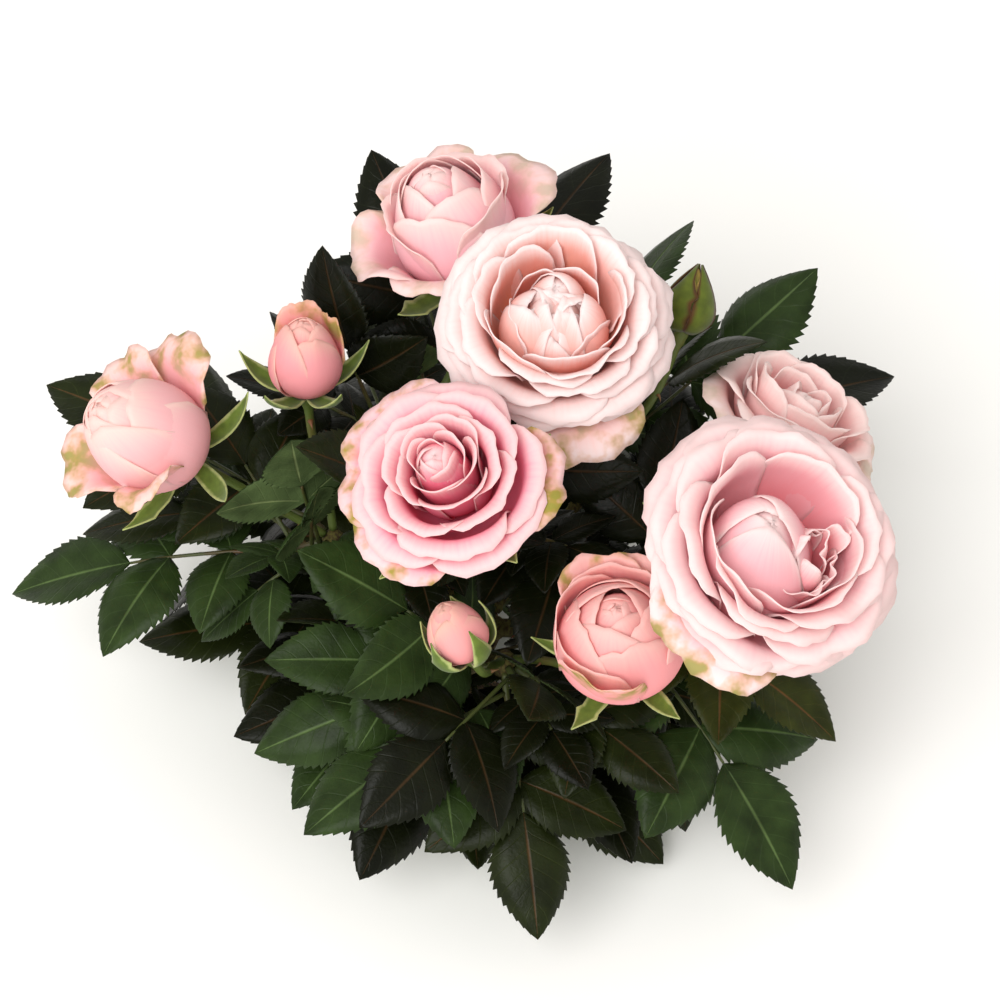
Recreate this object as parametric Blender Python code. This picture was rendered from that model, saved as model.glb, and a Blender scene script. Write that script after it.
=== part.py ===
"""Rose bush: a low, compact shrub rose in flower, rooted in level ground.

The bush is built as it grows. One short main stem swells into a crown, seven canes rise from the
crown, and each cane ends in a knuckle where flower stalks and leafy shoots begin. A flower is one
solid with its stalk, and so is each leafy shoot with all its leaves. Neighbours stay 0.3 mm apart.

Metres, +Z up. The origin is the centre of the flat cut under the main stem, at ground level.
"""

import math

import bmesh
import bpy
import numpy as np
from mathutils import Vector
from mathutils.bvhtree import BVHTree

MM = 0.001
CLEARANCE = 0.3 * MM

# Main stem
CROWN_HEIGHT = 31 * MM
CROWN_RADIUS = 9.5 * MM
NECK_RADIUS = 6.5 * MM
ROOT_FLARE = 5.5 * MM
STEM_LEAN = 2.5 * MM

# Canes and stalks
CANE_FOOT_RADIUS = 2.4 * MM
CANE_TIP_RADIUS = 1.7 * MM
KNUCKLE_RADIUS = 3.2 * MM
STALK_RADIUS = 1.25 * MM
PETAL_THICKNESS = 0.9 * MM
SHOOT_RADIUS = 1.1 * MM
LEAFSTALK_RADIUS = 0.7 * MM

# Leaves: each has a terminal leaflet and one or two pairs, lower pair first, given as the place on
# the leaf's stalk, the share of the terminal leaflet's length and the angle off the stalk
LEAFLET_LENGTH = 39 * MM
LEAF_LENGTH = 80 * MM
LEAFLET_SLENDERNESS = 0.6
LEAFLET_THICKNESS = 0.7 * MM
LEAFLET_MARGIN = 0.5 * MM
LEAFLET_FOOT = 0.8 * MM
CREASE = 0.22
BLADE_PLACES = (0.28, 0.72)
PAIRS = ((0.30, 0.74, math.radians(74)), (0.72, 0.94, math.radians(60)))
LEAF_DIVERGENCE = math.radians(144)
LEAF_TRIES = 26
LOWEST_LEAF = 4 * MM

# Shoots: stems that leave one knuckle or the crown stand at least this far apart
FORK_ANGLE = math.radians(50)
CROWN_FORK_ANGLE = math.radians(28)
SPREAD_ROUNDS = 60
SHORTEST_SHOOT = 9 * MM
MOST_SIDE_LEAVES = 3

# The heart of the bush, from which the shoots' reach is measured
HEART = np.array([0.0, 0.0, 50.0]) * MM

# name: tip of the cane, in mm
CANES = {
    "left": (-36, 3, 70),
    "back_left": (-15, 30, 80),
    "centre": (7, -3, 84),
    "front": (13, -33, 60),
    "right": (44, -16, 66),
    "back_right": (37, 25, 74),
    "back": (-6, 40, 50),
}

# name: cane, centre in mm, facing, radius in mm, kind
FLOWERS = {
    "upper": ("centre", (26, 13, 151), (0.00, -0.34, 0.94), 30.0, "open"),
    "centre": ("centre", (-2, -35, 141), (-0.20, -0.37, 0.90), 27.0, "spiral"),
    "right": ("right", (82, -51, 134), (0.30, -0.35, 0.88), 34.0, "open"),
    "back": ("back_left", (-1, 57, 140), (-0.24, 0.05, 0.97), 26.5, "half"),
    "far_right": ("back_right", (93, 14, 110), (0.45, 0.25, 0.85), 26.0, "open"),
    "left": ("left", (-84, 0, 118), (-0.55, -0.23, 0.81), 15.5, "reflexed"),
    "front": ("front", (43, -61, 106), (-0.10, -0.11, 0.98), 18.0, "goblet"),
    "left_bud": ("left", (-42, 19, 128), (0.0, 0.20, 0.98), 10.5, "bud"),
    "front_bud": ("front", (0, -53, 99), (-0.38, 0.15, 0.91), 8.5, "bud"),
    "green_bud": ("back_right", (64, 32, 140), (0.25, 0.63, 0.73), 7.0, "green"),
}

# name: cane or crown, then azimuth and rise in degrees and reach in mm of the leading leaf's tip,
# then the number of side leaves and the seed
SHOOTS = {
    "left_low": ("left", 179, -2, 131, 2, 11),
    "left_high": ("left", 158, 15, 135, 3, 12),
    "left_under": ("crown", 182, -12, 97, 1, 71),
    "left_inner": ("left", 200, 27, 77, 2, 50),
    "left_foot": ("crown", 207, -16, 70, 1, 57),
    "back_left_high": ("back_left", 150, 33, 92, 3, 51),
    "back_left_low": ("crown", 140, -8, 112, 3, 46),
    "front_left": ("front", 222, -6, 78, 3, 17),
    "front_left_foot": ("crown", 231, -19, 80, 1, 35),
    "front_left_low": ("crown", 252, -14, 92, 1, 18),
    "front_mid": ("front", 282, -13, 108, 1, 19),
    "front_foot": ("crown", 274, -22, 82, 1, 56),
    "front_inner": ("front", 294, 9, 88, 2, 35),
    "front_right": ("front", 308, 5, 98, 1, 21),
    "front_right_low": ("right", 316, -9, 130, 2, 22),
    "front_right_foot": ("crown", 303, -18, 94, 1, 37),
    "right_low": ("right", 333, 0, 118, 3, 23),
    "right_inner": ("right", 330, 20, 92, 1, 59),
    "right_mid": ("crown", 347, -8, 104, 2, 24),
    "right_back": ("back_right", 24, 12, 143, 3, 23),
    "right_high": ("back_right", 35, 25, 140, 3, 26),
    "right_upper": ("back_right", 16, 42, 119, 2, 98),
    "back_right_high": ("back_right", 52, 30, 128, 2, 88),
    "back_right_low": ("crown", 40, -10, 112, 2, 53),
    "back_high": ("back_left", 68, 31, 137, 3, 79),
    "back_mid": ("back", 96, 8, 112, 3, 56),
    "back_low": ("back", 74, -14, 104, 1, 81),
    "back_low_left": ("back", 116, -16, 102, 2, 90),
    "centre_left": ("centre", 232, 34, 60, 2, 59),
    "centre_right": ("centre", 325, 40, 74, 3, 60),
}

# Flowers: a sepal's width goes with the square root of its flower's radius, both in metres
GOLDEN_ANGLE = math.radians(137.5)
PETALS_ROUND = 5
PETAL_THICKNESS = 0.9 * MM
SEPALS = 5
SEPAL_WIDTH = 0.085


# Vectors and curves ---------------------------------------------------------------------------


def unit(vector):
    """The vector at length one; rows of an array are each scaled."""
    vector = np.asarray(vector, float)
    return vector / np.linalg.norm(vector, axis=-1, keepdims=True)


def across(vector, axis):
    """The unit vector nearest to vector that is square to axis."""
    axis = unit(axis)
    return unit(vector - (vector * axis).sum(-1, keepdims=True) * axis)


def swung(vector, axis, angle):
    """The vector swung about axis by angle, which is Rodrigues' formula."""
    axis = unit(axis)
    return (
        vector * math.cos(angle)
        + np.cross(axis, vector) * math.sin(angle)
        + axis * (axis @ vector) * (1 - math.cos(angle))
    )


def bezier(corners, t):
    """Points of the Bezier curve with those corners, at parameters t."""
    t = np.asarray(t, float)[..., None]
    rows = [np.asarray(c, float) for c in corners]
    while len(rows) > 1:
        rows = [a * (1 - t) + b * t for a, b in zip(rows, rows[1:])]
    return rows[0]


def point_along(path, share):
    """The point at that share of the way along a path of straight runs."""
    run, rest = divmod(share * (len(path) - 1), 1)
    return path[int(run)] * (1 - rest) + path[int(run) + 1] * rest


# Meshes ---------------------------------------------------------------------------------------


def tube_faces(rings, sides):
    """Faces of a closed tube whose points run ring by ring: flat ends and a wall between them."""
    last = (rings - 1) * sides
    faces = [tuple(reversed(range(sides))), tuple(range(last, last + sides))]
    for low in range(0, last, sides):
        for k in range(sides):
            after = (k + 1) % sides
            faces.append((low + k, low + after, low + sides + after, low + sides + k))
    return faces


def tube(path, radii, sides):
    """A closed tube along path: rings square to the path, with those radii and that many sides."""
    path = np.asarray(path, float)
    along = unit(np.gradient(path, axis=0))
    side = across(np.array([0.31, 0.86, 0.41]), along)
    other = np.cross(along, side)
    turn = np.arange(sides) * 2 * math.pi / sides
    ring = np.cos(turn)[None, :, None] * side[:, None] + np.sin(turn)[None, :, None] * other[:, None]
    points = path[:, None] + ring * np.asarray(radii, float)[:, None, None]
    return points.reshape(-1, 3), tube_faces(len(path), sides)


def ball(centre, axis, radius, length, sides=8, rings=4):
    """A closed round body about axis, with that radius and half length."""
    turn = np.linspace(0, math.pi, rings + 2)[1:-1]
    path = centre - np.outer(np.cos(turn), unit(axis)) * length
    points, faces = tube(path, radius * np.sin(turn), sides)
    count = len(points)
    ends = np.array([centre - unit(axis) * length, centre + unit(axis) * length])
    first = [(k, count, (k + 1) % sides) for k in range(sides)]
    top = count - sides
    last = [(top + k, top + (k + 1) % sides, count + 1) for k in range(sides)]
    return np.vstack([points, ends]), faces[2:] + first + last


def lens(grid, thickness):
    """A closed blade on a grid of points: its border is an edge, and inside it is that thick."""
    rows, columns = grid.shape[:2]
    normal = unit(np.cross(np.gradient(grid, axis=0), np.gradient(grid, axis=1)))
    inner = np.zeros((rows, columns), bool)
    inner[1:-1, 1:-1] = True
    front = np.arange(rows * columns).reshape(rows, columns)
    behind = front.copy()
    behind[inner] = rows * columns + np.arange(inner.sum())
    points = np.vstack(
        [
            (grid + normal * (inner * thickness / 2)[..., None]).reshape(-1, 3),
            grid[inner] - normal[inner] * thickness / 2,
        ]
    )
    faces = []
    for i in range(rows - 1):
        for j in range(columns - 1):
            a, b = (i, j), (i, j + 1)
            c, d = (i + 1, j + 1), (i + 1, j)
            faces += [(front[a], front[b], front[c]), (front[a], front[c], front[d])]
            faces += [(behind[a], behind[c], behind[b]), (behind[a], behind[d], behind[c])]
    return points, faces


def mesh_object(name, points, faces, material):
    """An object from points and faces, with its faces turned outwards."""
    mesh = bpy.data.meshes.new(name)
    mesh.from_pydata([tuple(p) for p in points], [], [tuple(int(i) for i in f) for f in faces])
    work = bmesh.new()
    work.from_mesh(mesh)
    bmesh.ops.recalc_face_normals(work, faces=work.faces)
    work.to_mesh(mesh)
    work.free()
    mesh.materials.append(material)
    made = bpy.data.objects.new(name, mesh)
    bpy.context.scene.collection.objects.link(made)
    return made


def fuse(name, pieces, material):
    """One solid from overlapping closed pieces, by one union on a collection that is then removed.

    The solver is MANIFOLD, because EXACT leaves open edges where many thin leaves meet one stem.
    """
    body = mesh_object(name, *pieces[0], material)
    rest = bpy.data.collections.new(name + "_pieces")
    bpy.context.scene.collection.children.link(rest)
    for index, piece in enumerate(pieces[1:]):
        loose = mesh_object(f"{name}_piece_{index}", *piece, material)
        bpy.context.scene.collection.objects.unlink(loose)
        rest.objects.link(loose)
    join = body.modifiers.new("union", "BOOLEAN")
    join.operation = "UNION"
    join.operand_type = "COLLECTION"
    join.collection = rest
    join.solver = "MANIFOLD"
    bpy.context.view_layer.objects.active = body
    bpy.ops.object.modifier_apply(modifier=join.name)
    for loose in list(rest.objects):
        bpy.data.objects.remove(loose)
    bpy.data.collections.remove(rest)


# Space ----------------------------------------------------------------------------------------


class Space:
    """What has grown so far, so that nothing later grows through it."""

    def __init__(self):
        self.bodies = []

    def body(self, piece, owner):
        """A piece with its bounding ball and search tree."""
        points, faces = piece
        centre = points.mean(axis=0)
        reach = np.linalg.norm(points - centre, axis=1).max()
        tree = BVHTree.FromPolygons([Vector(p) for p in points], faces)
        return centre, reach, tree, owner

    def add(self, piece, owner):
        self.bodies.append(self.body(piece, owner))

    def free(self, piece, but=()):
        """True if the piece is off the ground and touches nothing that others have grown."""
        if piece[0][:, 2].min() < LOWEST_LEAF:
            return False
        centre, reach, tree, _ = self.body(piece, None)
        for other_centre, other_reach, other_tree, owner in self.bodies:
            if owner in but or np.linalg.norm(centre - other_centre) > reach + other_reach:
                continue
            if tree.overlap(other_tree):
                return False
        return True


# Where stems spring from ----------------------------------------------------------------------


def source_ball(source):
    """(centre, radius) of the crown, or of the knuckle at a cane's tip."""
    if source == "crown":
        return np.array([STEM_LEAN, 0.0, CROWN_HEIGHT]), CROWN_RADIUS
    return np.array(CANES[source]) * MM, KNUCKLE_RADIUS


def shoot_tip(name):
    """The furthest point of a shoot, from its azimuth, rise and reach about the heart of the bush."""
    azimuth, rise, reach = SHOOTS[name][1:4]
    azimuth, rise = math.radians(azimuth), math.radians(rise)
    level = math.cos(rise)
    heading = np.array([math.cos(azimuth) * level, math.sin(azimuth) * level, math.sin(rise)])
    return HEART + heading * reach * MM


def spread(wishes, fixed, apart):
    """Headings near the wished ones, turned off each other and off the fixed ones."""
    headings = unit(wishes)
    own = np.arange(len(headings))
    for _ in range(SPREAD_ROUNDS):
        others = np.vstack([headings, fixed])
        angle = np.arccos(np.clip(headings @ others.T, -1, 1))
        short = np.clip(apart - angle, 0, None)
        short[own, own] = 0
        away = headings[:, None] - others[None] + 1e-9
        headings = unit(headings + 0.5 * (unit(away) * short[..., None]).sum(axis=1))
    return headings


def plan_feet():
    """Where every stem starts and its first heading: {node: (foot, heading)}."""
    wishes = {source: {} for source in ("crown", *CANES)}
    centre, _ = source_ball("crown")
    for cane, tip in CANES.items():
        wishes["crown"]["cane_" + cane] = (np.array(tip) * MM - centre) * np.array([1, 1, 0.75])
    for name, row in FLOWERS.items():
        base, _, _, axis = flower_frame(name)
        away = base - source_ball(row[0])[0]
        wishes[row[0]]["flower_" + name] = away - axis * np.linalg.norm(away) * 0.35
    for name, row in SHOOTS.items():
        away = shoot_tip(name) - source_ball(row[0])[0]
        wishes[row[0]]["shoot_" + name] = away + np.array([0, 0, 0.15]) * np.linalg.norm(away)
    feet = {}
    for source, stems in wishes.items():
        centre, radius = source_ball(source)
        below = np.array([[0.0, 0.0, -1.0]])
        apart = CROWN_FORK_ANGLE if source == "crown" else FORK_ANGLE
        headings = spread(np.array(list(stems.values())), below, apart)
        for node, heading in zip(stems, headings):
            feet[node] = (centre + heading * (radius + CLEARANCE), heading)
    return feet


# Main stem and canes --------------------------------------------------------------------------


def main_stem_mesh():
    """The stem's rings: a lobed root flare at the cut, a narrow neck, and the swollen crown."""
    sides, lobes = 12, 5
    heights = np.array([0.0, 0.08, 0.2, 0.38, 0.55])
    levels = heights * CROWN_HEIGHT
    radii = NECK_RADIUS + ROOT_FLARE * np.exp(-heights * 9)
    dome = np.radians([-38, -10, 20, 48, 72])
    levels = np.append(levels, CROWN_HEIGHT + CROWN_RADIUS * np.sin(dome))
    radii = np.append(radii, CROWN_RADIUS * np.cos(dome))
    path = np.column_stack([STEM_LEAN * levels / CROWN_HEIGHT, 0 * levels, levels])
    turn = np.arange(sides) * 2 * math.pi / sides
    lobe = 1 + 0.16 * np.exp(-levels / (5 * MM))[:, None] * np.cos(lobes * turn)
    ring = np.stack([np.cos(turn), np.sin(turn), 0 * turn], axis=-1)
    points = path[:, None] + ring[None] * (radii[:, None] * lobe)[..., None]
    return points.reshape(-1, 3), tube_faces(len(path), sides)


def cane_path(name, feet):
    """From the crown's skin to the cane's tip: out of the crown at a slant, then upright."""
    foot, leave = feet["cane_" + name]
    tip = np.array(CANES[name]) * MM
    span = np.linalg.norm(tip - foot)
    corners = [foot, foot + leave * span * 0.4, tip - np.array([0, 0, 1]) * span * 0.3, tip]
    return bezier(corners, np.linspace(0, 1, 6))


def cane_mesh(name, feet):
    """A tapering limb with a round knuckle at its tip, all in one run of rings."""
    path = cane_path(name, feet)
    radii = np.linspace(CANE_FOOT_RADIUS, CANE_TIP_RADIUS, len(path))
    along = unit(path[-1] - path[-2])
    bulge = np.radians([-40, 0, 40, 70])
    knuckle = path[-1] + np.outer(np.sin(bulge), along) * KNUCKLE_RADIUS
    path = np.vstack([path[:-1], knuckle])
    radii = np.append(radii[:-1], KNUCKLE_RADIUS * np.cos(bulge))
    return tube(path, radii, 6)


# Flowers --------------------------------------------------------------------------------------

# What each kind of flower is like, as shares of its radius and of its height. rise is the height
# over the radius. head is the profile of its head from the hip up, as (radius, height, notch): the
# tiers of petals stand out of it, and notch is how far a tier is drawn in between its petals.
# loose are separate petals: how many, then the radius, height and angle off the axis of their rims,
# for the lowest and for the highest, and their half width. sepal is the midrib of a sepal.
KINDS = {
    "open": {
        "rise": 0.86,
        "head": (
            (0.50, 0.20, 0),
            (1.00, 0.50, 0.12),
            (0.78, 0.54, 0),
            (0.90, 0.74, 0.12),
            (0.68, 0.68, 0),
            (0.76, 0.92, 0.10),
            (0.56, 0.60, 0),
            (0.42, 0.86, 0.16),
            (0.16, 0.68, 0),
        ),
        "loose": None,
        "sepal": None,
    },
    "spiral": {
        "rise": 1.0,
        "head": (
            (0.44, 0.20, 0),
            (1.00, 0.58, 0.11),
            (0.78, 0.60, 0),
            (0.86, 0.82, 0.11),
            (0.64, 0.74, 0),
            (0.66, 0.96, 0.09),
            (0.44, 0.82, 0),
            (0.38, 1.00, 0.12),
            (0.14, 0.88, 0),
        ),
        "loose": None,
        "sepal": None,
    },
    "half": {
        "rise": 1.2,
        "head": (
            (0.42, 0.20, 0),
            (1.00, 0.66, 0.15),
            (0.74, 0.64, 0),
            (0.80, 0.88, 0.13),
            (0.54, 0.72, 0),
            (0.46, 0.98, 0.10),
            (0.20, 0.96, 0),
        ),
        "loose": None,
        "sepal": None,
    },
    "goblet": {
        "rise": 1.5,
        "head": (
            (0.72, 0.20, 0),
            (0.98, 0.56, 0),
            (1.00, 0.84, 0.10),
            (0.80, 0.80, 0),
            (0.70, 0.97, 0.10),
            (0.40, 0.90, 0),
        ),
        "loose": None,
        "sepal": ((0.20, 0.04), (0.90, -0.06), (1.45, 0.14)),
    },
    "reflexed": {
        "rise": 2.2,
        "head": ((0.70, 0.20, 0), (0.96, 0.52, 0), (0.70, 0.88, 0), (0.30, 0.98, 0)),
        "loose": (4, (1.9, 1.5), (0.40, 0.58), (118, 84), 0.84),
        "sepal": ((0.20, 0.04), (1.10, -0.10), (1.70, 0.18)),
    },
    "bud": {
        "rise": 2.1,
        "head": ((0.82, 0.20, 0), (1.0, 0.48, 0), (0.78, 0.82, 0), (0.30, 0.98, 0)),
        "loose": None,
        "sepal": ((0.30, 0.02), (1.30, 0.10), (1.60, 0.62)),
    },
    "green": {
        "rise": 2.9,
        "head": ((0.90, 0.14, 0), (1.0, 0.36, 0), (0.66, 0.72, 0), (0.16, 1.0, 0)),
        "loose": None,
        "sepal": None,
    },
}


def flower_height(name):
    """From the flower's base to the tips of its petals."""
    radius, kind = FLOWERS[name][3:]
    return radius * MM * KINDS[kind]["rise"]


def flower_frame(name):
    """(base point, sideways, other side, axis) of a flower: its base lies behind its centre."""
    _, centre, facing, _, _ = FLOWERS[name]
    axis = unit(facing)
    base = np.array(centre) * MM - axis * flower_height(name) * 0.5
    side = across(np.array([1.0, 0.0, 0.0]), axis)
    return base, side, np.cross(axis, side), axis


def stalk_path(name, feet):
    """The flower's stalk: from the cane's knuckle up into the flower's hip, along its axis there."""
    base, _, _, axis = flower_frame(name)
    foot, leave = feet["flower_" + name]
    span = np.linalg.norm(base - foot)
    corners = [foot, foot + leave * span * 0.3, base - axis * span * 0.4, base]
    return bezier(corners, np.linspace(0, 1, 5))


def petal_grid(turn, reach, level, lean, half_width):
    """A petal's points, in the flower's own frame.

    Its midline is a cubic curve from the flower's base to its rim at that reach and level, and
    leans off the axis there. Across, it is an arc about the axis, and its sides are shorter than
    its middle.
    """
    u, v = np.meshgrid((-1.0, 0.0, 1.0), (0.1, 0.55, 1.0))
    pull = math.hypot(reach, level) * 0.33
    corners = [
        (0.0, 0.0),
        (reach * 0.95, level * 0.12),
        (reach - pull * math.sin(lean), level - pull * math.cos(lean)),
        (reach, level),
    ]
    midline = bezier(corners, v * (1 - 0.24 * np.abs(u)))
    radius, height = midline[..., 0], midline[..., 1]
    width = half_width * (0.22 + 0.78 * np.sin(np.minimum(v / 0.72, 1) * math.pi / 2))
    bend = np.maximum(radius, 0.35 * half_width) * 1.25
    angle = u * width / bend
    out = radius - bend * (1 - np.cos(angle))
    aside = bend * np.sin(angle)
    x = out * math.cos(turn) - aside * math.sin(turn)
    y = out * math.sin(turn) + aside * math.cos(turn)
    return np.stack([x, y, height], axis=-1)


def loose_petals(name):
    """The separate petals round a head by the golden angle, from the lowest to the highest."""
    radius, kind = FLOWERS[name][3] * MM, KINDS[FLOWERS[name][4]]
    if not kind["loose"]:
        return
    count, *ranges, width = kind["loose"]
    for k in range(count):
        reach, level, lean = (low + (high - low) * k / (count - 1) for low, high in ranges)
        height = flower_height(name) * level
        yield petal_grid(k * GOLDEN_ANGLE, radius * reach, height, math.radians(lean), radius * width)


def head_mesh(name):
    """The flower's head on its hip, in its own frame: rings of points, drawn in between petals."""
    radius, kind = FLOWERS[name][3] * MM, KINDS[FLOWERS[name][4]]
    hip = 0.15 * radius + 1.3 * MM
    tiered = any(notch for _, _, notch in kind["head"])
    sides = 3 * PETALS_ROUND if tiered else 8
    rings = [(hip * 0.5, -hip * 1.2, 0), (hip, -hip * 0.2, 0)]
    rings += [(radius * wide, flower_height(name) * tall, notch) for wide, tall, notch in kind["head"]]
    side = np.arange(sides)
    turn = side * 2 * math.pi / sides
    points = []
    for tier, (wide, level, notch) in enumerate(rings):
        between = (side + tier // 2) % 3 == 0
        out = wide * (1 - notch * between)
        low = level - radius * notch * 0.7 * between
        points.append(np.stack([out * np.cos(turn), out * np.sin(turn), low], axis=-1))
    return np.concatenate(points), tube_faces(len(rings), sides)


def flower_pieces(name, feet):
    """Head, stalk, sepals and loose petals of a flower, as overlapping closed pieces."""
    radius, kind = FLOWERS[name][3] * MM, KINDS[FLOWERS[name][4]]
    base, *frame = flower_frame(name)

    def placed(points):
        return np.asarray(points) @ np.array(frame) + base

    points, faces = head_mesh(name)
    stalk = stalk_path(name, feet)
    pieces = [(placed(points), faces), tube(stalk, np.full(len(stalk), STALK_RADIUS), 5)]
    for k in range(SEPALS if kind["sepal"] else 0):
        angle = (k + 0.3) * 2 * math.pi / SEPALS
        heading = np.array([math.cos(angle), math.sin(angle), 0.0])
        rise = np.array([0, 0, flower_height(name)])
        midrib = placed([heading * radius * wide + rise * tall for wide, tall in kind["sepal"]])
        width = SEPAL_WIDTH * math.sqrt(radius)
        pieces.append(blade_mesh(midrib, placed(heading) - base, width))
    pieces += [lens(placed(grid), PETAL_THICKNESS) for grid in loose_petals(name)]
    return pieces


# Radius of the space that a flower keeps to itself, where its sepals or petals stand out of it
HULL_RADIUS = {"reflexed": 1.9, "goblet": 1.3, "bud": 1.5}


def flower_hull(name):
    """A closed body round the flower's head, which leaves and shoots keep out of."""
    radius, kind = FLOWERS[name][3] * MM, KINDS[FLOWERS[name][4]]
    height = flower_height(name)
    base, _, _, axis = flower_frame(name)
    widest = HULL_RADIUS.get(FLOWERS[name][4], 1.08)
    return ball(base + axis * height * 0.42, axis, radius * widest, height * 0.68, 10, 5)


# Leaves ---------------------------------------------------------------------------------------


def outline(v):
    """Half a blade's width along its midrib, as a share of its greatest: oval with a sharp tip."""
    return np.sin(math.pi * v**0.82) ** 0.9


def blade_points(midrib, normal, width, thickness):
    """A blade's rim from its right side round its tip to its left, and its middle, over and under."""
    base, _, tip = midrib
    normal = across(normal, tip - base)
    side = np.cross(unit(tip - base), normal)
    low, high = (bezier(midrib, place) for place in BLADE_PLACES)
    low_half, high_half = (width / 2 * outline(place) * 1.06 for place in BLADE_PLACES)
    right, left = side + normal * CREASE, -side + normal * CREASE
    rim = [low + right * low_half, high + right * high_half, tip]
    rim += [high + left * high_half, low + left * low_half]
    middle = bezier(midrib, 0.5)
    return rim, middle + normal * thickness / 2, middle - normal * thickness / 2


def blade_mesh(midrib, normal, width, margin=0.0):
    """A closed six-cornered blade, creased along its midrib and thickest in its middle."""
    rim, over, under = blade_points(midrib, normal, width, LEAFLET_THICKNESS + 2 * margin)
    faces = [(k, (k + 1) % 6, 6) for k in range(6)] + [((k + 1) % 6, k, 7) for k in range(6)]
    return np.array([midrib[0], *rim, over, under]), faces


def compound_leaf(start, tip, sky, bow, size, pairs):
    """A leaf from its foot to its tip, arched towards the sky, with its leaflets.

    Its stalk has a ring at its foot, at each pair and under the terminal leaflet. A leaflet is the
    ring that it grows from, its side (1 right, -1 left, 0 for the terminal one), its midrib and
    the normal of its upper side.
    """
    chord = tip - start
    length = np.linalg.norm(chord)
    size = min(size, 0.52 * length)
    end = 1 - size / length
    rib = [start, start + chord * 0.5 + across(sky, chord) * bow * length, tip]
    places = [0] + [place for place, _, _ in PAIRS[-pairs:]] + [1]
    stalk = bezier(rib, end * np.array(places))
    along = unit(np.gradient(stalk, axis=0))
    up = across(sky, along)
    midrib = (stalk[-1], rib[1] * (1 - end) + tip * end, tip)
    leaflets = [(len(stalk) - 1, 0, midrib, up[-1])]
    for ring in range(pairs, 0, -1):
        _, share, angle = PAIRS[-pairs:][ring - 1]
        for side in (1, -1):
            aside = np.cross(along[ring], up[ring]) * side
            heading = along[ring] * math.cos(angle) + aside * math.sin(angle)
            span = size * share
            bend = stalk[ring] + (heading * 0.5 + up[ring] * 0.06) * span
            point = stalk[ring] + (heading - up[ring] * 0.12) * span
            leaflets.append((ring, side, (stalk[ring], bend, point), across(up[ring], heading)))
    return {"stalk": stalk, "along": along, "up": up, "leaflets": leaflets}


def leaflet_width(midrib):
    return LEAFLET_SLENDERNESS * np.linalg.norm(midrib[2] - midrib[0])


def leaflet_space(leaflet, margin=LEAFLET_MARGIN):
    """The space that a leaflet takes up, as a closed blade a little thicker than its own."""
    _, _, midrib, normal = leaflet
    return blade_mesh(midrib, normal, leaflet_width(midrib), margin)


def stalk_space(leaf, first=0):
    """The space that a leaf's stalk takes up, from its ring first on."""
    path = leaf["stalk"][first:]
    return tube(path, np.full(len(path), LEAFSTALK_RADIUS + LEAFLET_MARGIN), 4)


def leaf_mesh(leaf):
    """A leaf in one closed skin: a four-sided stalk whose sides open into the leaflets.

    A pair's ring is split in two, and a leaflet's rim runs from the one to the other.
    """
    points, rings, faces = [], [], []
    last = len(leaf["stalk"]) - 1
    blades = {(ring, side): (midrib, normal) for ring, side, midrib, normal in leaf["leaflets"]}

    def add(new):
        points.extend(new)
        return list(range(len(points) - len(new), len(points)))

    def open_blade(key, edge_from, edge_to, over_edge, under_edge):
        midrib, normal = blades[key]
        rim, over, under = blade_points(midrib, normal, leaflet_width(midrib), LEAFLET_THICKNESS)
        *rim, over, under = add([*rim, over, under])
        rim = [edge_from, *rim, edge_to]
        for border, middle in ((over_edge + rim, over), (under_edge + rim, under)):
            faces.extend((a, b, middle) for a, b in zip(border, border[1:] + border[:1]))

    for ring, (centre, along, up) in enumerate(zip(leaf["stalk"], leaf["along"], leaf["up"])):
        right = np.cross(along, up)
        for shift in (-1, 1) if 0 < ring < last else (0,):
            middle = centre + along * shift * LEAFLET_FOOT
            rings.append(add([middle + way * LEAFSTALK_RADIUS for way in (right, up, -right, -up)]))
    faces.append(rings[0])
    for number, (before, after) in enumerate(zip(rings, rings[1:])):
        pair = (number + 1) // 2 if number % 2 else 0
        for side, edge in ((1, 0), (-1, 2)):
            if (pair, side) in blades:
                near, far = (before, after) if side == 1 else (after, before)
                open_blade((pair, side), near[edge], far[edge], [far[1], near[1]], [far[3], near[3]])
            else:
                for other in (1, 3):
                    faces.append((before[edge], before[other], after[other], after[edge]))
    right, over, left, under = rings[-1]
    open_blade((last, 0), right, left, [over], [under])
    return np.array(points), faces


def shoot_mesh(stem, grow=0.0):
    return tube(stem, np.linspace(SHOOT_RADIUS, SHOOT_RADIUS * 0.8, len(stem)) + grow, 4)


def shoot_stem(name, feet, space):
    """The stem of a leafy shoot: a leaf's length short of its tip, bent round what is in its way."""
    foot, leave = feet["shoot_" + name]
    tip = shoot_tip(name)
    rng = np.random.default_rng(SHOOTS[name][5])
    span = np.linalg.norm(tip - foot)
    length = max(span - LEAF_LENGTH, SHORTEST_SHOOT)
    for attempt in range(LEAF_TRIES):
        aim = unit(unit(tip - foot) + leave * 0.3 + rng.normal(0, 0.05 * attempt, 3))
        stem = bezier([foot, foot + leave * length * 0.5, foot + aim * length], np.linspace(0, 1, 4))
        if space.free(shoot_mesh(stem, LEAFLET_MARGIN), but=(SHOOTS[name][0],)):
            break
    return stem


def sky_at(place, jitter):
    """Which way a leaf's upper side faces: upwards, and outwards from the heart of the bush."""
    return unit(np.array([0.0, 0.0, 0.8]) + unit(place - HEART) * 0.55 + jitter)


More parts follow.
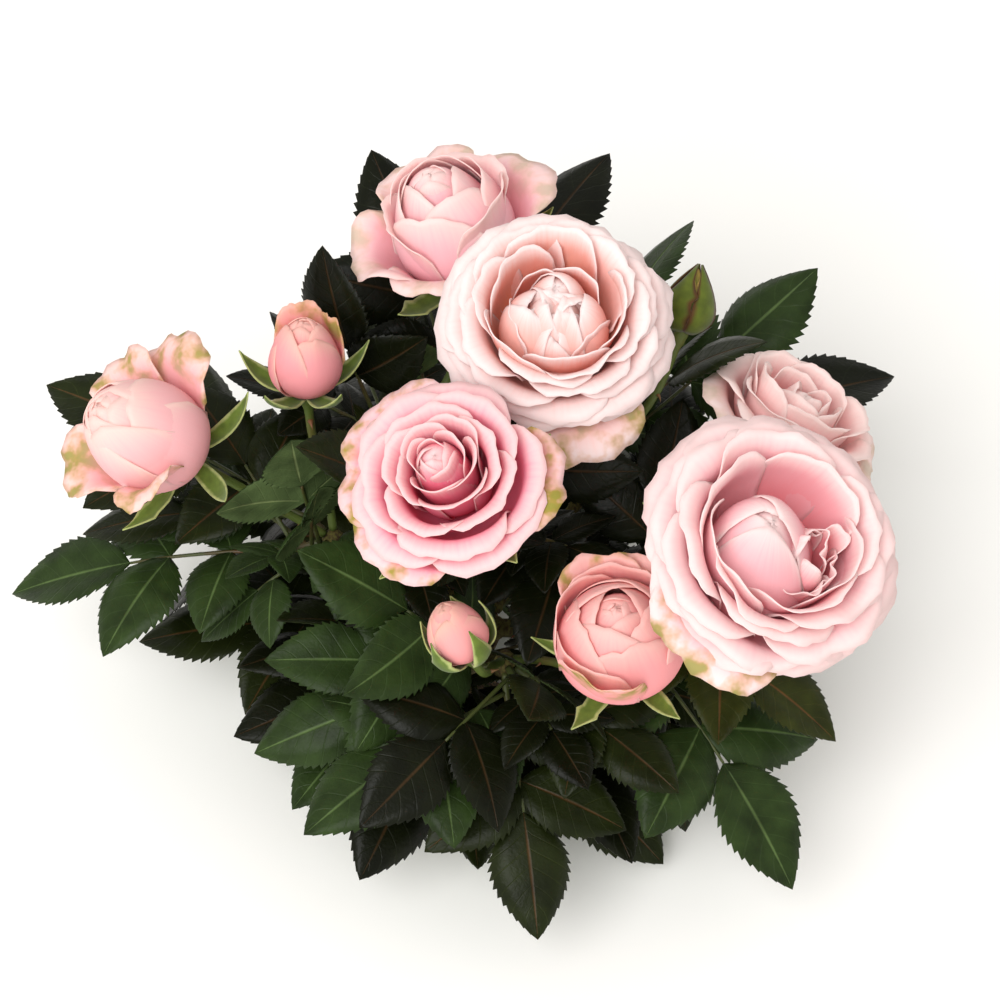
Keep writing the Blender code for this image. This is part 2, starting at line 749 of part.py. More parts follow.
def fit_leaf(space, owner, leaf):
    """The leaf with those of its leaflets that have room, or None if its stalk or tip has none."""
    if not space.free(stalk_space(leaf), but=(owner + " stem",)):
        return None
    kept = []
    for leaflet in leaf["leaflets"]:
        tree = space.body(leaflet_space(leaflet, 0.0), None)[2]
        beside = [one for one in kept if one[0] != leaflet[0]]
        if any(tree.overlap(space.body(leaflet_space(one, 0.0), None)[2]) for one in beside):
            continue
        if space.free(leaflet_space(leaflet)):
            kept.append(leaflet)
    fitted = {**leaf, "leaflets": kept}
    whole = kept and kept[0][1] == 0 and space.free(leaf_mesh(fitted), but=(owner + " stem",))
    return fitted if whole else None


def best_leaf(space, owner, candidates):
    """The first of the candidates with room for all its leaflets, or else the fullest one."""
    best = None
    for leaf in candidates:
        fitted = fit_leaf(space, owner, leaf)
        if fitted and (best is None or len(fitted["leaflets"]) > len(best["leaflets"])):
            best = fitted
        if fitted and len(fitted["leaflets"]) == len(leaf["leaflets"]):
            break
    if best:
        space.add(leaf_mesh(best), owner)
        space.add(stalk_space(best, 1), owner)
        for leaflet in best["leaflets"]:
            space.add(leaflet_space(leaflet), owner)
    return best


def leading_leaves(name, stem):
    """Candidates for the leaf at a shoot's end, which reaches the shoot's own tip."""
    rng = np.random.default_rng(SHOOTS[name][5])
    tip = shoot_tip(name)
    start = stem[-1] - unit(stem[-1] - stem[-2]) * SHOOT_RADIUS
    for attempt in range(LEAF_TRIES):
        wobble = 0.02 + 0.022 * attempt
        sky = sky_at((start + tip) / 2, rng.normal(0, wobble, 3))
        bow = 0.13 + rng.uniform(-0.5, 0.5) * wobble
        size = LEAFLET_LENGTH * rng.uniform(0.97, 1.05)
        yield compound_leaf(start, tip, sky, bow, size, 2)


def side_leaves(name, stem, number):
    """Candidates for a leaf on a shoot's side, set round the stem by the leaf divergence."""
    rng = np.random.default_rng(1000 * (number + 1) + SHOOTS[name][5])
    count = SHOOTS[name][4]
    start = point_along(stem, (number + 0.6) / count)
    along = unit(stem[-1] - stem[0])
    first = across(np.array([0.3, 0.2, 1.0]), along)
    for attempt in range(LEAF_TRIES):
        wobble = 0.12 + 0.07 * attempt
        turn = LEAF_DIVERGENCE * (number + 0.5 + rng.uniform(-1, 1) * wobble)
        open_angle = math.radians(58) + rng.uniform(-0.4, 0.4) * wobble
        heading = along * math.cos(open_angle) + swung(first, along, turn) * math.sin(open_angle)
        outward = unit(start - HEART * np.array([1, 1, 0.9]))
        heading = unit(heading + outward * 0.25 + rng.normal(0, 0.12, 3))
        length = LEAF_LENGTH * rng.uniform(0.72, 0.95)
        tip = start + heading * length
        tip[2] -= length * 0.1
        sky = sky_at(start * 0.4 + tip * 0.6, rng.normal(0, 0.14, 3))
        size = LEAFLET_LENGTH * rng.uniform(0.82, 1.0)
        pairs = 1 if rng.random() < 0.4 else 2
        yield compound_leaf(start, tip, sky, rng.uniform(0.08, 0.18), size, pairs)


def grow_shoots(feet):
    """All leafy shoots, as {name: (stem, leaves)}: leading leaves first, then the side leaves."""
    space = Space()
    space.add(main_stem_mesh(), "crown")
    for cane in CANES:
        space.add(cane_mesh(cane, feet), cane)
    for name, row in FLOWERS.items():
        stalk = stalk_path(name, feet)
        space.add(tube(stalk, np.full(len(stalk), STALK_RADIUS + CLEARANCE), 5), "flower")
        space.add(flower_hull(name), "flower")
    grown = {}
    for name in SHOOTS:
        stem = shoot_stem(name, feet, space)
        space.add(shoot_mesh(stem), name + " stem")
        grown[name] = (stem, [])
    for name, (stem, leaves) in grown.items():
        leaves.append(best_leaf(space, name, leading_leaves(name, stem)))
    for number in range(MOST_SIDE_LEAVES):
        for name, (stem, leaves) in grown.items():
            if number < SHOOTS[name][4]:
                leaves.append(best_leaf(space, name, side_leaves(name, stem, number)))
    return {name: (stem, [leaf for leaf in leaves if leaf]) for name, (stem, leaves) in grown.items()}


# Materials and the whole bush -----------------------------------------------------------------


def material(name, colour, roughness):
    """A plain finish: base colour as sRGB hex, turned to linear, and a roughness."""
    made = bpy.data.materials.new(name)
    made.use_nodes = True
    shader = made.node_tree.nodes["Principled BSDF"]
    parts = [int(colour[k : k + 2], 16) / 255 for k in (1, 3, 5)]
    linear = [c / 12.92 if c <= 0.04045 else ((c + 0.055) / 1.055) ** 2.4 for c in parts]
    shader.inputs["Base Color"].default_value = (*linear, 1)
    shader.inputs["Roughness"].default_value = roughness
    shader.inputs["Metallic"].default_value = 0
    return made


def build():
    for old in list(bpy.data.objects):
        bpy.data.objects.remove(old)
    bark = material("rose_bark", "#6b5a3c", 0.8)
    green_wood = material("cane_green", "#4d5a22", 0.6)
    foliage = material("rose_leaf", "#33441f", 0.45)
    blossom = material("rose_petal", "#f6c9cb", 0.6)
    calyx = material("bud_green", "#8d9441", 0.6)

    feet = plan_feet()
    mesh_object("main_stem", *main_stem_mesh(), bark)
    for cane in CANES:
        mesh_object("cane_" + cane, *cane_mesh(cane, feet), green_wood)
    for name, row in FLOWERS.items():
        fuse("flower_" + name, flower_pieces(name, feet), calyx if row[4] == "green" else blossom)
    for name, (stem, leaves) in grow_shoots(feet).items():
        pieces = [shoot_mesh(stem)] + [leaf_mesh(leaf) for leaf in leaves]
        fuse("shoot_" + name, pieces, foliage)


build()
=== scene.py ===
"""Rose bush: the looks of a low shrub rose in flower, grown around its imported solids.

Stems, leaves and blooms grow here by the same rule as the solids, from the same sizes and seeds,
and are carried further: to small leaves inside the bush, toothed leaflets with veins, whorls of
petals, sepals, prickles and bark. Lengths are in metres, +Z is up, and the origin is the centre of
the flat cut under the main stem.
"""

import math

import bmesh
import bpy
import numpy as np
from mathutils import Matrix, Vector
from mathutils.bvhtree import BVHTree


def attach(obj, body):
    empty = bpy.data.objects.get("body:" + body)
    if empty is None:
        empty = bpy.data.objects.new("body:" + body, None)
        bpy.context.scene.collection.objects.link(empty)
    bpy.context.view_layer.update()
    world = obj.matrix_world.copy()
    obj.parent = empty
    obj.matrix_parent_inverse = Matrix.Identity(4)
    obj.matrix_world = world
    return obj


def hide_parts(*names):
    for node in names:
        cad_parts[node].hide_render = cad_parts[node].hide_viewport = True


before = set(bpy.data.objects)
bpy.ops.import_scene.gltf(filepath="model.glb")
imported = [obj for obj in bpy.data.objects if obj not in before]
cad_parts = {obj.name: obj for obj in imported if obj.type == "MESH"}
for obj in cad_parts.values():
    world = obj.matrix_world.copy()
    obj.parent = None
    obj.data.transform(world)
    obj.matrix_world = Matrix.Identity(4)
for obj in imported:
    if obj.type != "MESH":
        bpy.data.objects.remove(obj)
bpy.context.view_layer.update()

bl_info = {
    "name": "Rose bush",
    "version": (1, 0, 0),
    "blender": (4, 5, 0),
    "location": "View3D > Sidebar > Rose bush",
    "description": "Grows the stems, leaves and blooms of a low shrub rose",
    "category": "Object",
}

NODES = sorted(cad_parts)
MM = 0.001
CLEARANCE = 0.3 * MM

# Main stem
CROWN_HEIGHT = 31 * MM
CROWN_RADIUS = 9.5 * MM
NECK_RADIUS = 6.5 * MM
ROOT_FLARE = 5.5 * MM
STEM_LEAN = 2.5 * MM

# Canes and stalks
CANE_FOOT_RADIUS = 2.4 * MM
CANE_TIP_RADIUS = 1.7 * MM
KNUCKLE_RADIUS = 3.2 * MM
STALK_RADIUS = 1.25 * MM
SHOOT_RADIUS = 1.1 * MM
LEAFSTALK_RADIUS = 0.7 * MM

# Leaves: each has a terminal leaflet and one or two pairs, lower pair first, given as the place on
# the leaf's stalk, the share of the terminal leaflet's length and the angle off the stalk
LEAFLET_LENGTH = 39 * MM
LEAF_LENGTH = 80 * MM
LEAFLET_SLENDERNESS = 0.6
LEAFLET_THICKNESS = 0.7 * MM
LEAFLET_MARGIN = 0.5 * MM
LEAFLET_FOOT = 0.8 * MM
CREASE = 0.22
BLADE_PLACES = (0.28, 0.72)
PAIRS = ((0.30, 0.74, math.radians(74)), (0.72, 0.94, math.radians(60)))
LEAF_DIVERGENCE = math.radians(144)
LEAF_TRIES = 26
FINE_TRIES = 10
LOWEST_LEAF = 4 * MM

# Shoots: stems that leave one knuckle or the crown stand at least this far apart
FORK_ANGLE = math.radians(50)
CROWN_FORK_ANGLE = math.radians(28)
SPREAD_ROUNDS = 60
SHORTEST_SHOOT = 9 * MM
MOST_SIDE_LEAVES = 3

# The heart of the bush, from which the shoots' reach is measured
HEART = np.array([0.0, 0.0, 50.0]) * MM

# A direction along which no stem runs, from which the points round a limb are counted
ASKEW = np.array([0.31, 0.86, 0.41])

GOLDEN_ANGLE = math.radians(137.5)
SEPALS = 5

# name: tip of the cane, in mm
CANES = {
    "left": (-36, 3, 70),
    "back_left": (-15, 30, 80),
    "centre": (7, -3, 84),
    "front": (13, -33, 60),
    "right": (44, -16, 66),
    "back_right": (37, 25, 74),
    "back": (-6, 40, 50),
}

# name: cane, centre in mm, facing, radius in mm, kind
FLOWERS = {
    "upper": ("centre", (26, 13, 151), (0.00, -0.34, 0.94), 30.0, "open"),
    "centre": ("centre", (-2, -35, 141), (-0.20, -0.37, 0.90), 27.0, "spiral"),
    "right": ("right", (82, -51, 134), (0.30, -0.35, 0.88), 34.0, "open"),
    "back": ("back_left", (-1, 57, 140), (-0.24, 0.05, 0.97), 26.5, "half"),
    "far_right": ("back_right", (93, 14, 110), (0.45, 0.25, 0.85), 26.0, "open"),
    "left": ("left", (-84, 0, 118), (-0.55, -0.23, 0.81), 15.5, "reflexed"),
    "front": ("front", (43, -61, 106), (-0.10, -0.11, 0.98), 18.0, "goblet"),
    "left_bud": ("left", (-42, 19, 128), (0.0, 0.20, 0.98), 10.5, "bud"),
    "front_bud": ("front", (0, -53, 99), (-0.38, 0.15, 0.91), 8.5, "bud"),
    "green_bud": ("back_right", (64, 32, 140), (0.25, 0.63, 0.73), 7.0, "green"),
}

# kind of flower: its height over its radius
RISE = {"open": 0.86, "spiral": 1.0, "half": 1.2, "goblet": 1.5, "reflexed": 2.2, "bud": 2.1, "green": 2.9}

# Radius of the space that a flower keeps to itself, where its sepals or petals stand out of it
HULL_RADIUS = {"reflexed": 1.9, "goblet": 1.3, "bud": 1.5}

# name: cane or crown, then azimuth and rise in degrees and reach in mm of the leading leaf's tip,
# then the number of side leaves and the seed
SHOOTS = {
    "left_low": ("left", 179, -2, 131, 2, 11),
    "left_high": ("left", 158, 15, 135, 3, 12),
    "left_under": ("crown", 182, -12, 97, 1, 71),
    "left_inner": ("left", 200, 27, 77, 2, 50),
    "left_foot": ("crown", 207, -16, 70, 1, 57),
    "back_left_high": ("back_left", 150, 33, 92, 3, 51),
    "back_left_low": ("crown", 140, -8, 112, 3, 46),
    "front_left": ("front", 222, -6, 78, 3, 17),
    "front_left_foot": ("crown", 231, -19, 80, 1, 35),
    "front_left_low": ("crown", 252, -14, 92, 1, 18),
    "front_mid": ("front", 282, -13, 108, 1, 19),
    "front_foot": ("crown", 274, -22, 82, 1, 56),
    "front_inner": ("front", 294, 9, 88, 2, 35),
    "front_right": ("front", 308, 5, 98, 1, 21),
    "front_right_low": ("right", 316, -9, 130, 2, 22),
    "front_right_foot": ("crown", 303, -18, 94, 1, 37),
    "right_low": ("right", 333, 0, 118, 3, 23),
    "right_inner": ("right", 330, 20, 92, 1, 59),
    "right_mid": ("crown", 347, -8, 104, 2, 24),
    "right_back": ("back_right", 24, 12, 143, 3, 23),
    "right_high": ("back_right", 35, 25, 140, 3, 26),
    "right_upper": ("back_right", 16, 42, 119, 2, 98),
    "back_right_high": ("back_right", 52, 30, 128, 2, 88),
    "back_right_low": ("crown", 40, -10, 112, 2, 53),
    "back_high": ("back_left", 68, 31, 137, 3, 79),
    "back_mid": ("back", 96, 8, 112, 3, 56),
    "back_low": ("back", 74, -14, 104, 1, 81),
    "back_low_left": ("back", 116, -16, 102, 2, 90),
    "centre_left": ("centre", 232, 34, 60, 2, 59),
    "centre_right": ("centre", 325, 40, 74, 3, 60),
}


# Vectors, curves and surfaces --------------------------------------------------------------------


def unit(vector):
    """The vector at length one; rows of an array are each scaled."""
    vector = np.asarray(vector, float)
    return vector / np.linalg.norm(vector, axis=-1, keepdims=True)


def across(vector, axis):
    """The unit vector nearest to vector that is square to axis."""
    axis = unit(axis)
    return unit(vector - (vector * axis).sum(-1, keepdims=True) * axis)


def swung(vector, axis, angle):
    """The vector swung about axis by angle, which is Rodrigues' formula."""
    axis = unit(axis)
    turned = vector * math.cos(angle) + np.cross(axis, vector) * math.sin(angle)
    return turned + axis * (axis @ vector) * (1 - math.cos(angle))


def bezier(corners, t):
    """Points of the Bezier curve with those corners, at parameters t."""
    t = np.asarray(t, float)[..., None]
    rows = [np.asarray(c, float) for c in corners]
    while len(rows) > 1:
        rows = [a * (1 - t) + b * t for a, b in zip(rows, rows[1:])]
    return rows[0]


def point_along(path, share):
    """The point at that share of the way along a path of straight runs."""
    run, rest = divmod(share * (len(path) - 1), 1)
    return path[int(run)] * (1 - rest) + path[int(run) + 1] * rest


def smooth_path(path, rings):
    """The path as one smooth curve with that many points, by Catmull-Rom between its own."""
    path = np.asarray(path, float)
    padded = np.vstack([2 * path[0] - path[1], path, 2 * path[-1] - path[-2]])
    place = np.linspace(0, len(path) - 1, rings)
    run = np.minimum(place.astype(int), len(path) - 2)
    t = (place - run)[:, None]
    a, b, c, d = (padded[run + k] for k in range(4))
    return 0.5 * (2 * b + (c - a) * t + (2 * a - 5 * b + 4 * c - d) * t**2 + (3 * b - a - 3 * c + d) * t**3)


def turns(sides):
    """The angles of that many even steps round a limb."""
    return np.arange(sides) * 2 * math.pi / sides


def grid_faces(rows, columns, around=False):
    """Quads of a grid whose point (i, j) has the number i * columns + j.

    With around, the last column joins the first.
    """
    i, j = np.meshgrid(np.arange(rows - 1), np.arange(columns if around else columns - 1), indexing="ij")
    near, after = i * columns + j, i * columns + (j + 1) % columns
    return np.stack([near, after, after + columns, near + columns], -1).reshape(-1, 4)


def closed(skins, paths):
    """Skins (limbs, rings, sides, 3) with each end drawn together into the end of its path."""
    low, high = (np.repeat(paths[:, [k]][:, :, None], skins.shape[2], 2) for k in (0, -1))
    return np.concatenate([low, skins, high], axis=1)


def limb_grids(paths, radii, sides):
    """Skins of round limbs: point = path + radius (cos(t) a + sin(t) b), with a and b square to the path.

    paths are (limbs, rings, 3) and radii (limbs, rings) or (limbs, rings, sides).
    """
    radii = radii if radii.ndim == 3 else np.repeat(radii[..., None], sides, -1)
    along = unit(np.gradient(paths, axis=1))
    a = across(ASKEW, along)
    b = np.cross(along, a)
    turn = turns(sides)[:, None]
    out = np.cos(turn) * a[:, :, None] + np.sin(turn) * b[:, :, None]
    return paths[:, :, None] + out * radii[..., None]


def tube_grids(paths, radii, sides):
    """The skins of round limbs, closed at both ends."""
    paths = np.asarray(paths, float)
    return closed(limb_grids(paths, np.asarray(radii, float), sides), paths)


# Room for what grows, as closed meshes of a few faces ----------------------------------------------


def tube_faces(rings, sides):
    """Faces of a closed tube whose points run ring by ring: flat ends and a wall between them."""
    last = (rings - 1) * sides
    ends = [tuple(reversed(range(sides))), tuple(range(last, last + sides))]
    return ends + grid_faces(rings, sides, around=True).tolist()


def tube(path, radii, sides):
    """A closed tube along path: rings square to the path, with those radii and that many sides."""
    points = limb_grids(np.array([path], float), np.array([radii], float), sides)
    return points.reshape(-1, 3), tube_faces(len(path), sides)


def ball(centre, axis, radius, length, sides, rings):
    """A closed round body about axis, with that radius and half length."""
    turn = np.linspace(0, math.pi, rings + 2)[1:-1]
    points, faces = tube(centre - np.outer(np.cos(turn), unit(axis)) * length, radius * np.sin(turn), sides)
    count = len(points)
    ends = np.array([centre - unit(axis) * length, centre + unit(axis) * length])
    first = [(k, count, (k + 1) % sides) for k in range(sides)]
    last = [(count - sides + k, count - sides + (k + 1) % sides, count + 1) for k in range(sides)]
    return np.vstack([points, ends]), faces[2:] + first + last


class Space:
    """What has grown so far, so that nothing later grows through it."""

    def __init__(self):
        self.bodies = []

    def body(self, piece, owner=None):
        """A piece with its bounding ball and search tree."""
        points, faces = piece
        centre = points.mean(axis=0)
        reach = np.linalg.norm(points - centre, axis=1).max()
        return centre, reach, BVHTree.FromPolygons(points.tolist(), faces), owner

    def add(self, piece, owner):
        """Takes up the piece's room for its owner."""
        self.bodies.append(self.body(piece, owner))

    def free(self, piece, but=()):
        """True if the piece is off the ground and touches nothing that others have grown."""
        if piece[0][:, 2].min() < LOWEST_LEAF:
            return False
        centre, reach, tree, _ = self.body(piece)
        return not any(
            owner not in but and np.linalg.norm(centre - place) <= reach + size and tree.overlap(other)
            for place, size, other, owner in self.bodies
        )


# Where stems spring from -------------------------------------------------------------------------


def source_ball(source):
    """(centre, radius) of the crown, or of the knuckle at a cane's tip."""
    if source == "crown":
        return np.array([STEM_LEAN, 0.0, CROWN_HEIGHT]), CROWN_RADIUS
    return np.array(CANES[source]) * MM, KNUCKLE_RADIUS


def shoot_tip(name):
    """The furthest point of a shoot, from its azimuth, rise and reach about the heart of the bush."""
    azimuth, rise = map(math.radians, SHOOTS[name][1:3])
    level = math.cos(rise)
    heading = np.array([math.cos(azimuth) * level, math.sin(azimuth) * level, math.sin(rise)])
    return HEART + heading * SHOOTS[name][3] * MM


def spread(wishes, fixed, apart):
    """Headings near the wished ones, turned off each other and off the fixed ones."""
    headings = unit(wishes)
    own = np.arange(len(headings))
    for _ in range(SPREAD_ROUNDS):
        others = np.vstack([headings, fixed])
        short = np.clip(apart - np.arccos(np.clip(headings @ others.T, -1, 1)), 0, None)
        short[own, own] = 0
        away = headings[:, None] - others[None] + 1e-9
        headings = unit(headings + 0.5 * (unit(away) * short[..., None]).sum(axis=1))
    return headings


def plan_feet():
    """Where every stem starts and its first heading: {node: (foot, heading)}."""
    wishes = {source: {} for source in ("crown", *CANES)}
    for cane, tip in CANES.items():
        away = np.array(tip) * MM - source_ball("crown")[0]
        wishes["crown"]["cane_" + cane] = away * np.array([1, 1, 0.75])
    for name, row in FLOWERS.items():
        base, _, _, axis = flower_frame(name)
        away = base - source_ball(row[0])[0]
        wishes[row[0]]["flower_" + name] = away - axis * np.linalg.norm(away) * 0.35
    for name, row in SHOOTS.items():
        away = shoot_tip(name) - source_ball(row[0])[0]
        wishes[row[0]]["shoot_" + name] = away + np.array([0, 0, 0.15]) * np.linalg.norm(away)
    feet = {}
    for source, stems in wishes.items():
        centre, radius = source_ball(source)
        apart = CROWN_FORK_ANGLE if source == "crown" else FORK_ANGLE
        headings = spread(np.array(list(stems.values())), np.array([[0.0, 0.0, -1.0]]), apart)
        for node, heading in zip(stems, headings):
            feet[node] = (centre + heading * (radius + CLEARANCE), heading)
    return feet


def stem_rings(heights, dome, sides, relief=lambda levels, radii, turn: 0):
    """The main stem's middle and skin, ring by ring, as a surface of its turn and height.

    Its radius falls off with height from a root flare with five lobes to a narrow neck, then swells
    into the crown's dome. The relief, a function of all heights and turns, is added to it.
    """
    levels = np.append(heights * CROWN_HEIGHT, CROWN_HEIGHT + CROWN_RADIUS * np.sin(dome))
    radii = np.append(NECK_RADIUS + ROOT_FLARE * np.exp(-heights * 9), CROWN_RADIUS * np.cos(dome))
    turn = turns(sides)
    lobe = 1 + 0.16 * np.exp(-levels / (5 * MM))[:, None] * np.cos(5 * turn)
    radius = radii[:, None] * lobe + relief(levels[:, None], radii[:, None], turn)
    centre = np.column_stack([STEM_LEAN * levels / CROWN_HEIGHT, 0 * levels, levels])
    ring = np.stack([np.cos(turn), np.sin(turn), 0 * turn], axis=-1)
    return centre, centre[:, None] + ring * radius[..., None]


def main_stem_mesh():
    """The main stem as its solid has it: ten rings of twelve sides, closed flat at both ends."""
    _, skin = stem_rings(np.array([0.0, 0.08, 0.2, 0.38, 0.55]), np.radians([-38, -10, 20, 48, 72]), 12)
    return skin.reshape(-1, 3), tube_faces(len(skin), 12)


def cane_path(name, feet):
    """From the crown's skin to the cane's tip: out of the crown at a slant, then upright."""
    foot, leave = feet["cane_" + name]
    tip = np.array(CANES[name]) * MM
    span = np.linalg.norm(tip - foot)
    corners = [foot, foot + leave * span * 0.4, tip - np.array([0, 0, 1]) * span * 0.3, tip]
    return bezier(corners, np.linspace(0, 1, 6))


def cane_mesh(name, feet):
    """A tapering limb with a round knuckle at its tip, all in one run of rings."""
    path = cane_path(name, feet)
    bulge = np.radians([-40, 0, 40, 70])
    knuckle = path[-1] + np.outer(np.sin(bulge), unit(path[-1] - path[-2])) * KNUCKLE_RADIUS
    taper = np.linspace(CANE_FOOT_RADIUS, CANE_TIP_RADIUS, len(path))
    radii = np.append(taper[:-1], KNUCKLE_RADIUS * np.cos(bulge))
    return tube(np.vstack([path[:-1], knuckle]), radii, 6)


def flower_height(name):
    """From the flower's base to the tips of its petals."""
    radius, kind = FLOWERS[name][3:]
    return radius * MM * RISE[kind]


def flower_frame(name):
    """(base point, sideways, other side, axis) of a flower: its base lies behind its centre."""
    _, centre, facing, _, _ = FLOWERS[name]
    axis = unit(facing)
    side = across(np.array([1.0, 0.0, 0.0]), axis)
    return np.array(centre) * MM - axis * flower_height(name) * 0.5, side, np.cross(axis, side), axis


def stalk_path(name, feet):
    """The flower's stalk: from the cane's knuckle up into the flower's hip, along its axis there."""
    base, _, _, axis = flower_frame(name)
    foot, leave = feet["flower_" + name]
    span = np.linalg.norm(base - foot)
    corners = [foot, foot + leave * span * 0.3, base - axis * span * 0.4, base]
    return bezier(corners, np.linspace(0, 1, 5))


def flower_hull(name):
    """A closed body round the flower's head, which leaves and shoots keep out of."""
    radius, kind = FLOWERS[name][3:]
    height = flower_height(name)
    base, _, _, axis = flower_frame(name)
    widest = HULL_RADIUS.get(kind, 1.08)
    return ball(base + axis * height * 0.42, axis, radius * MM * widest, height * 0.68, 10, 5)


# Leaves and shoots -------------------------------------------------------------------------------


def outline(v):
    """Half a blade's width along its midrib, as a share of its greatest: oval with a sharp tip."""
    return np.sin(math.pi * v**0.82) ** 0.9


def leaflet_width(midrib):
    """A leaflet's width: its slenderness times the straight length from its base to its tip."""
    return LEAFLET_SLENDERNESS * np.linalg.norm(midrib[2] - midrib[0])


def blade_points(midrib, normal, margin=0.0):
    """A blade's rim from its right side round its tip to its left, and its middle, over and under."""
    base, _, tip = midrib
    normal = across(normal, tip - base)
    side = np.cross(unit(tip - base), normal)
    low, high = (bezier(midrib, place) for place in BLADE_PLACES)
    low_half, high_half = (leaflet_width(midrib) / 2 * outline(place) * 1.06 for place in BLADE_PLACES)
    right, left = side + normal * CREASE, -side + normal * CREASE
    rim = [low + right * low_half, high + right * high_half, tip]
    rim += [high + left * high_half, low + left * low_half]
    middle = bezier(midrib, 0.5)
    thickness = LEAFLET_THICKNESS + 2 * margin
    return rim, middle + normal * thickness / 2, middle - normal * thickness / 2


def leaflet_space(leaflet, margin=LEAFLET_MARGIN):
    """The space that a leaflet takes up: a closed six-cornered blade, thickest in its middle."""
    _, _, midrib, normal = leaflet
    rim, over, under = blade_points(midrib, normal, margin)
    faces = [(k, (k + 1) % 6, 6) for k in range(6)] + [((k + 1) % 6, k, 7) for k in range(6)]
    return np.array([midrib[0], *rim, over, under]), faces


def stalk_space(leaf, first=0):
    """The space that a leaf's stalk takes up, from its ring first on."""
    path = leaf["stalk"][first:]
    return tube(path, np.full(len(path), LEAFSTALK_RADIUS + LEAFLET_MARGIN), 4)


def shoot_mesh(stem, grow=0.0):
    """A shoot's stem as a four-sided tube that tapers by a fifth, made thicker by grow."""
    return tube(stem, np.linspace(SHOOT_RADIUS, SHOOT_RADIUS * 0.8, len(stem)) + grow, 4)


def compound_leaf(start, tip, sky, bow, size, pairs):
    """A leaf from its foot to its tip, arched towards the sky, with its leaflets.

    Its stalk has a ring at its foot, at each pair and under the terminal leaflet. A leaflet is the
    ring that it grows from, its side (1 right, -1 left, 0 for the terminal one), its midrib and
    the normal of its upper side.
    """
    chord = tip - start
    length = np.linalg.norm(chord)
    size = min(size, 0.52 * length)
    end = 1 - size / length
    rib = [start, start + chord * 0.5 + across(sky, chord) * bow * length, tip]
    places = [0] + [place for place, _, _ in PAIRS[-pairs:]] + [1]
    stalk = bezier(rib, end * np.array(places))
    along = unit(np.gradient(stalk, axis=0))
    up = across(sky, along)
    midrib = (stalk[-1], rib[1] * (1 - end) + tip * end, tip)
    leaflets = [(len(stalk) - 1, 0, midrib, up[-1])]
    for ring in range(pairs, 0, -1):
        _, share, angle = PAIRS[-pairs:][ring - 1]
        for side in (1, -1):
            aside = np.cross(along[ring], up[ring]) * side
            heading = along[ring] * math.cos(angle) + aside * math.sin(angle)
            span = size * share
            bend = stalk[ring] + (heading * 0.5 + up[ring] * 0.06) * span
            point = stalk[ring] + (heading - up[ring] * 0.12) * span
            leaflets.append((ring, side, (stalk[ring], bend, point), across(up[ring], heading)))
    return {"stalk": stalk, "along": along, "up": up, "leaflets": leaflets}


def leaf_mesh(leaf):
    """A leaf in one closed skin: a four-sided stalk whose sides open into the leaflets.

    A pair's ring is split in two, and a leaflet's rim runs from the one to the other.
    """
    points, rings, faces = [], [], []
    last = len(leaf["stalk"]) - 1
    blades = {(ring, side): (midrib, normal) for ring, side, midrib, normal in leaf["leaflets"]}

    def add(new):
        """Adds the points and gives their numbers."""
        points.extend(new)
        return list(range(len(points) - len(new), len(points)))

    def open_blade(key, edge_from, edge_to, over_edge, under_edge):
        """Fans of triangles from a blade's upper and lower middle to its rim and the stalk's edge."""
        rim, over, under = blade_points(*blades[key])
        *rim, over, under = add([*rim, over, under])
        rim = [edge_from, *rim, edge_to]
        for border, middle in ((over_edge + rim, over), (under_edge + rim, under)):
            faces.extend((a, b, middle) for a, b in zip(border, border[1:] + border[:1]))

    for ring, (centre, along, up) in enumerate(zip(leaf["stalk"], leaf["along"], leaf["up"])):
        right = np.cross(along, up)
        for shift in (-1, 1) if 0 < ring < last else (0,):
            middle = centre + along * shift * LEAFLET_FOOT
            rings.append(add([middle + way * LEAFSTALK_RADIUS for way in (right, up, -right, -up)]))
    faces.append(rings[0])
    for number, (before, after) in enumerate(zip(rings, rings[1:])):
        pair = (number + 1) // 2 if number % 2 else 0
        for side, edge in ((1, 0), (-1, 2)):
            if (pair, side) in blades:
                near, far = (before, after) if side == 1 else (after, before)
                open_blade((pair, side), near[edge], far[edge], [far[1], near[1]], [far[3], near[3]])
            else:
                for other in (1, 3):
                    faces.append((before[edge], before[other], after[other], after[edge]))
    right, over, left, under = rings[-1]
    open_blade((last, 0), right, left, [over], [under])
    return np.array(points), faces


def shoot_stem(name, feet, space):
    """The stem of a leafy shoot: a leaf's length short of its tip, bent round what is in its way."""
    foot, leave = feet["shoot_" + name]
    tip = shoot_tip(name)
    rng = np.random.default_rng(SHOOTS[name][5])
    length = max(np.linalg.norm(tip - foot) - LEAF_LENGTH, SHORTEST_SHOOT)
    for attempt in range(LEAF_TRIES):
        aim = unit(unit(tip - foot) + leave * 0.3 + rng.normal(0, 0.05 * attempt, 3))
        stem = bezier([foot, foot + leave * length * 0.5, foot + aim * length], np.linspace(0, 1, 4))
        if space.free(shoot_mesh(stem, LEAFLET_MARGIN), but=(SHOOTS[name][0],)):
            break
    return stem


def sky_at(place, jitter):
    """Which way a leaf's upper side faces: upwards, and outwards from the heart of the bush."""
    return unit(np.array([0.0, 0.0, 0.8]) + unit(place - HEART) * 0.55 + jitter)


def slanted(stem, turn, open_angle):
    """A heading that leaves the stem at the open angle, at that turn round it."""
    along = unit(stem[-1] - stem[0])
    first = across(np.array([0.3, 0.2, 1.0]), along)
    return along * math.cos(open_angle) + swung(first, along, turn) * math.sin(open_angle)


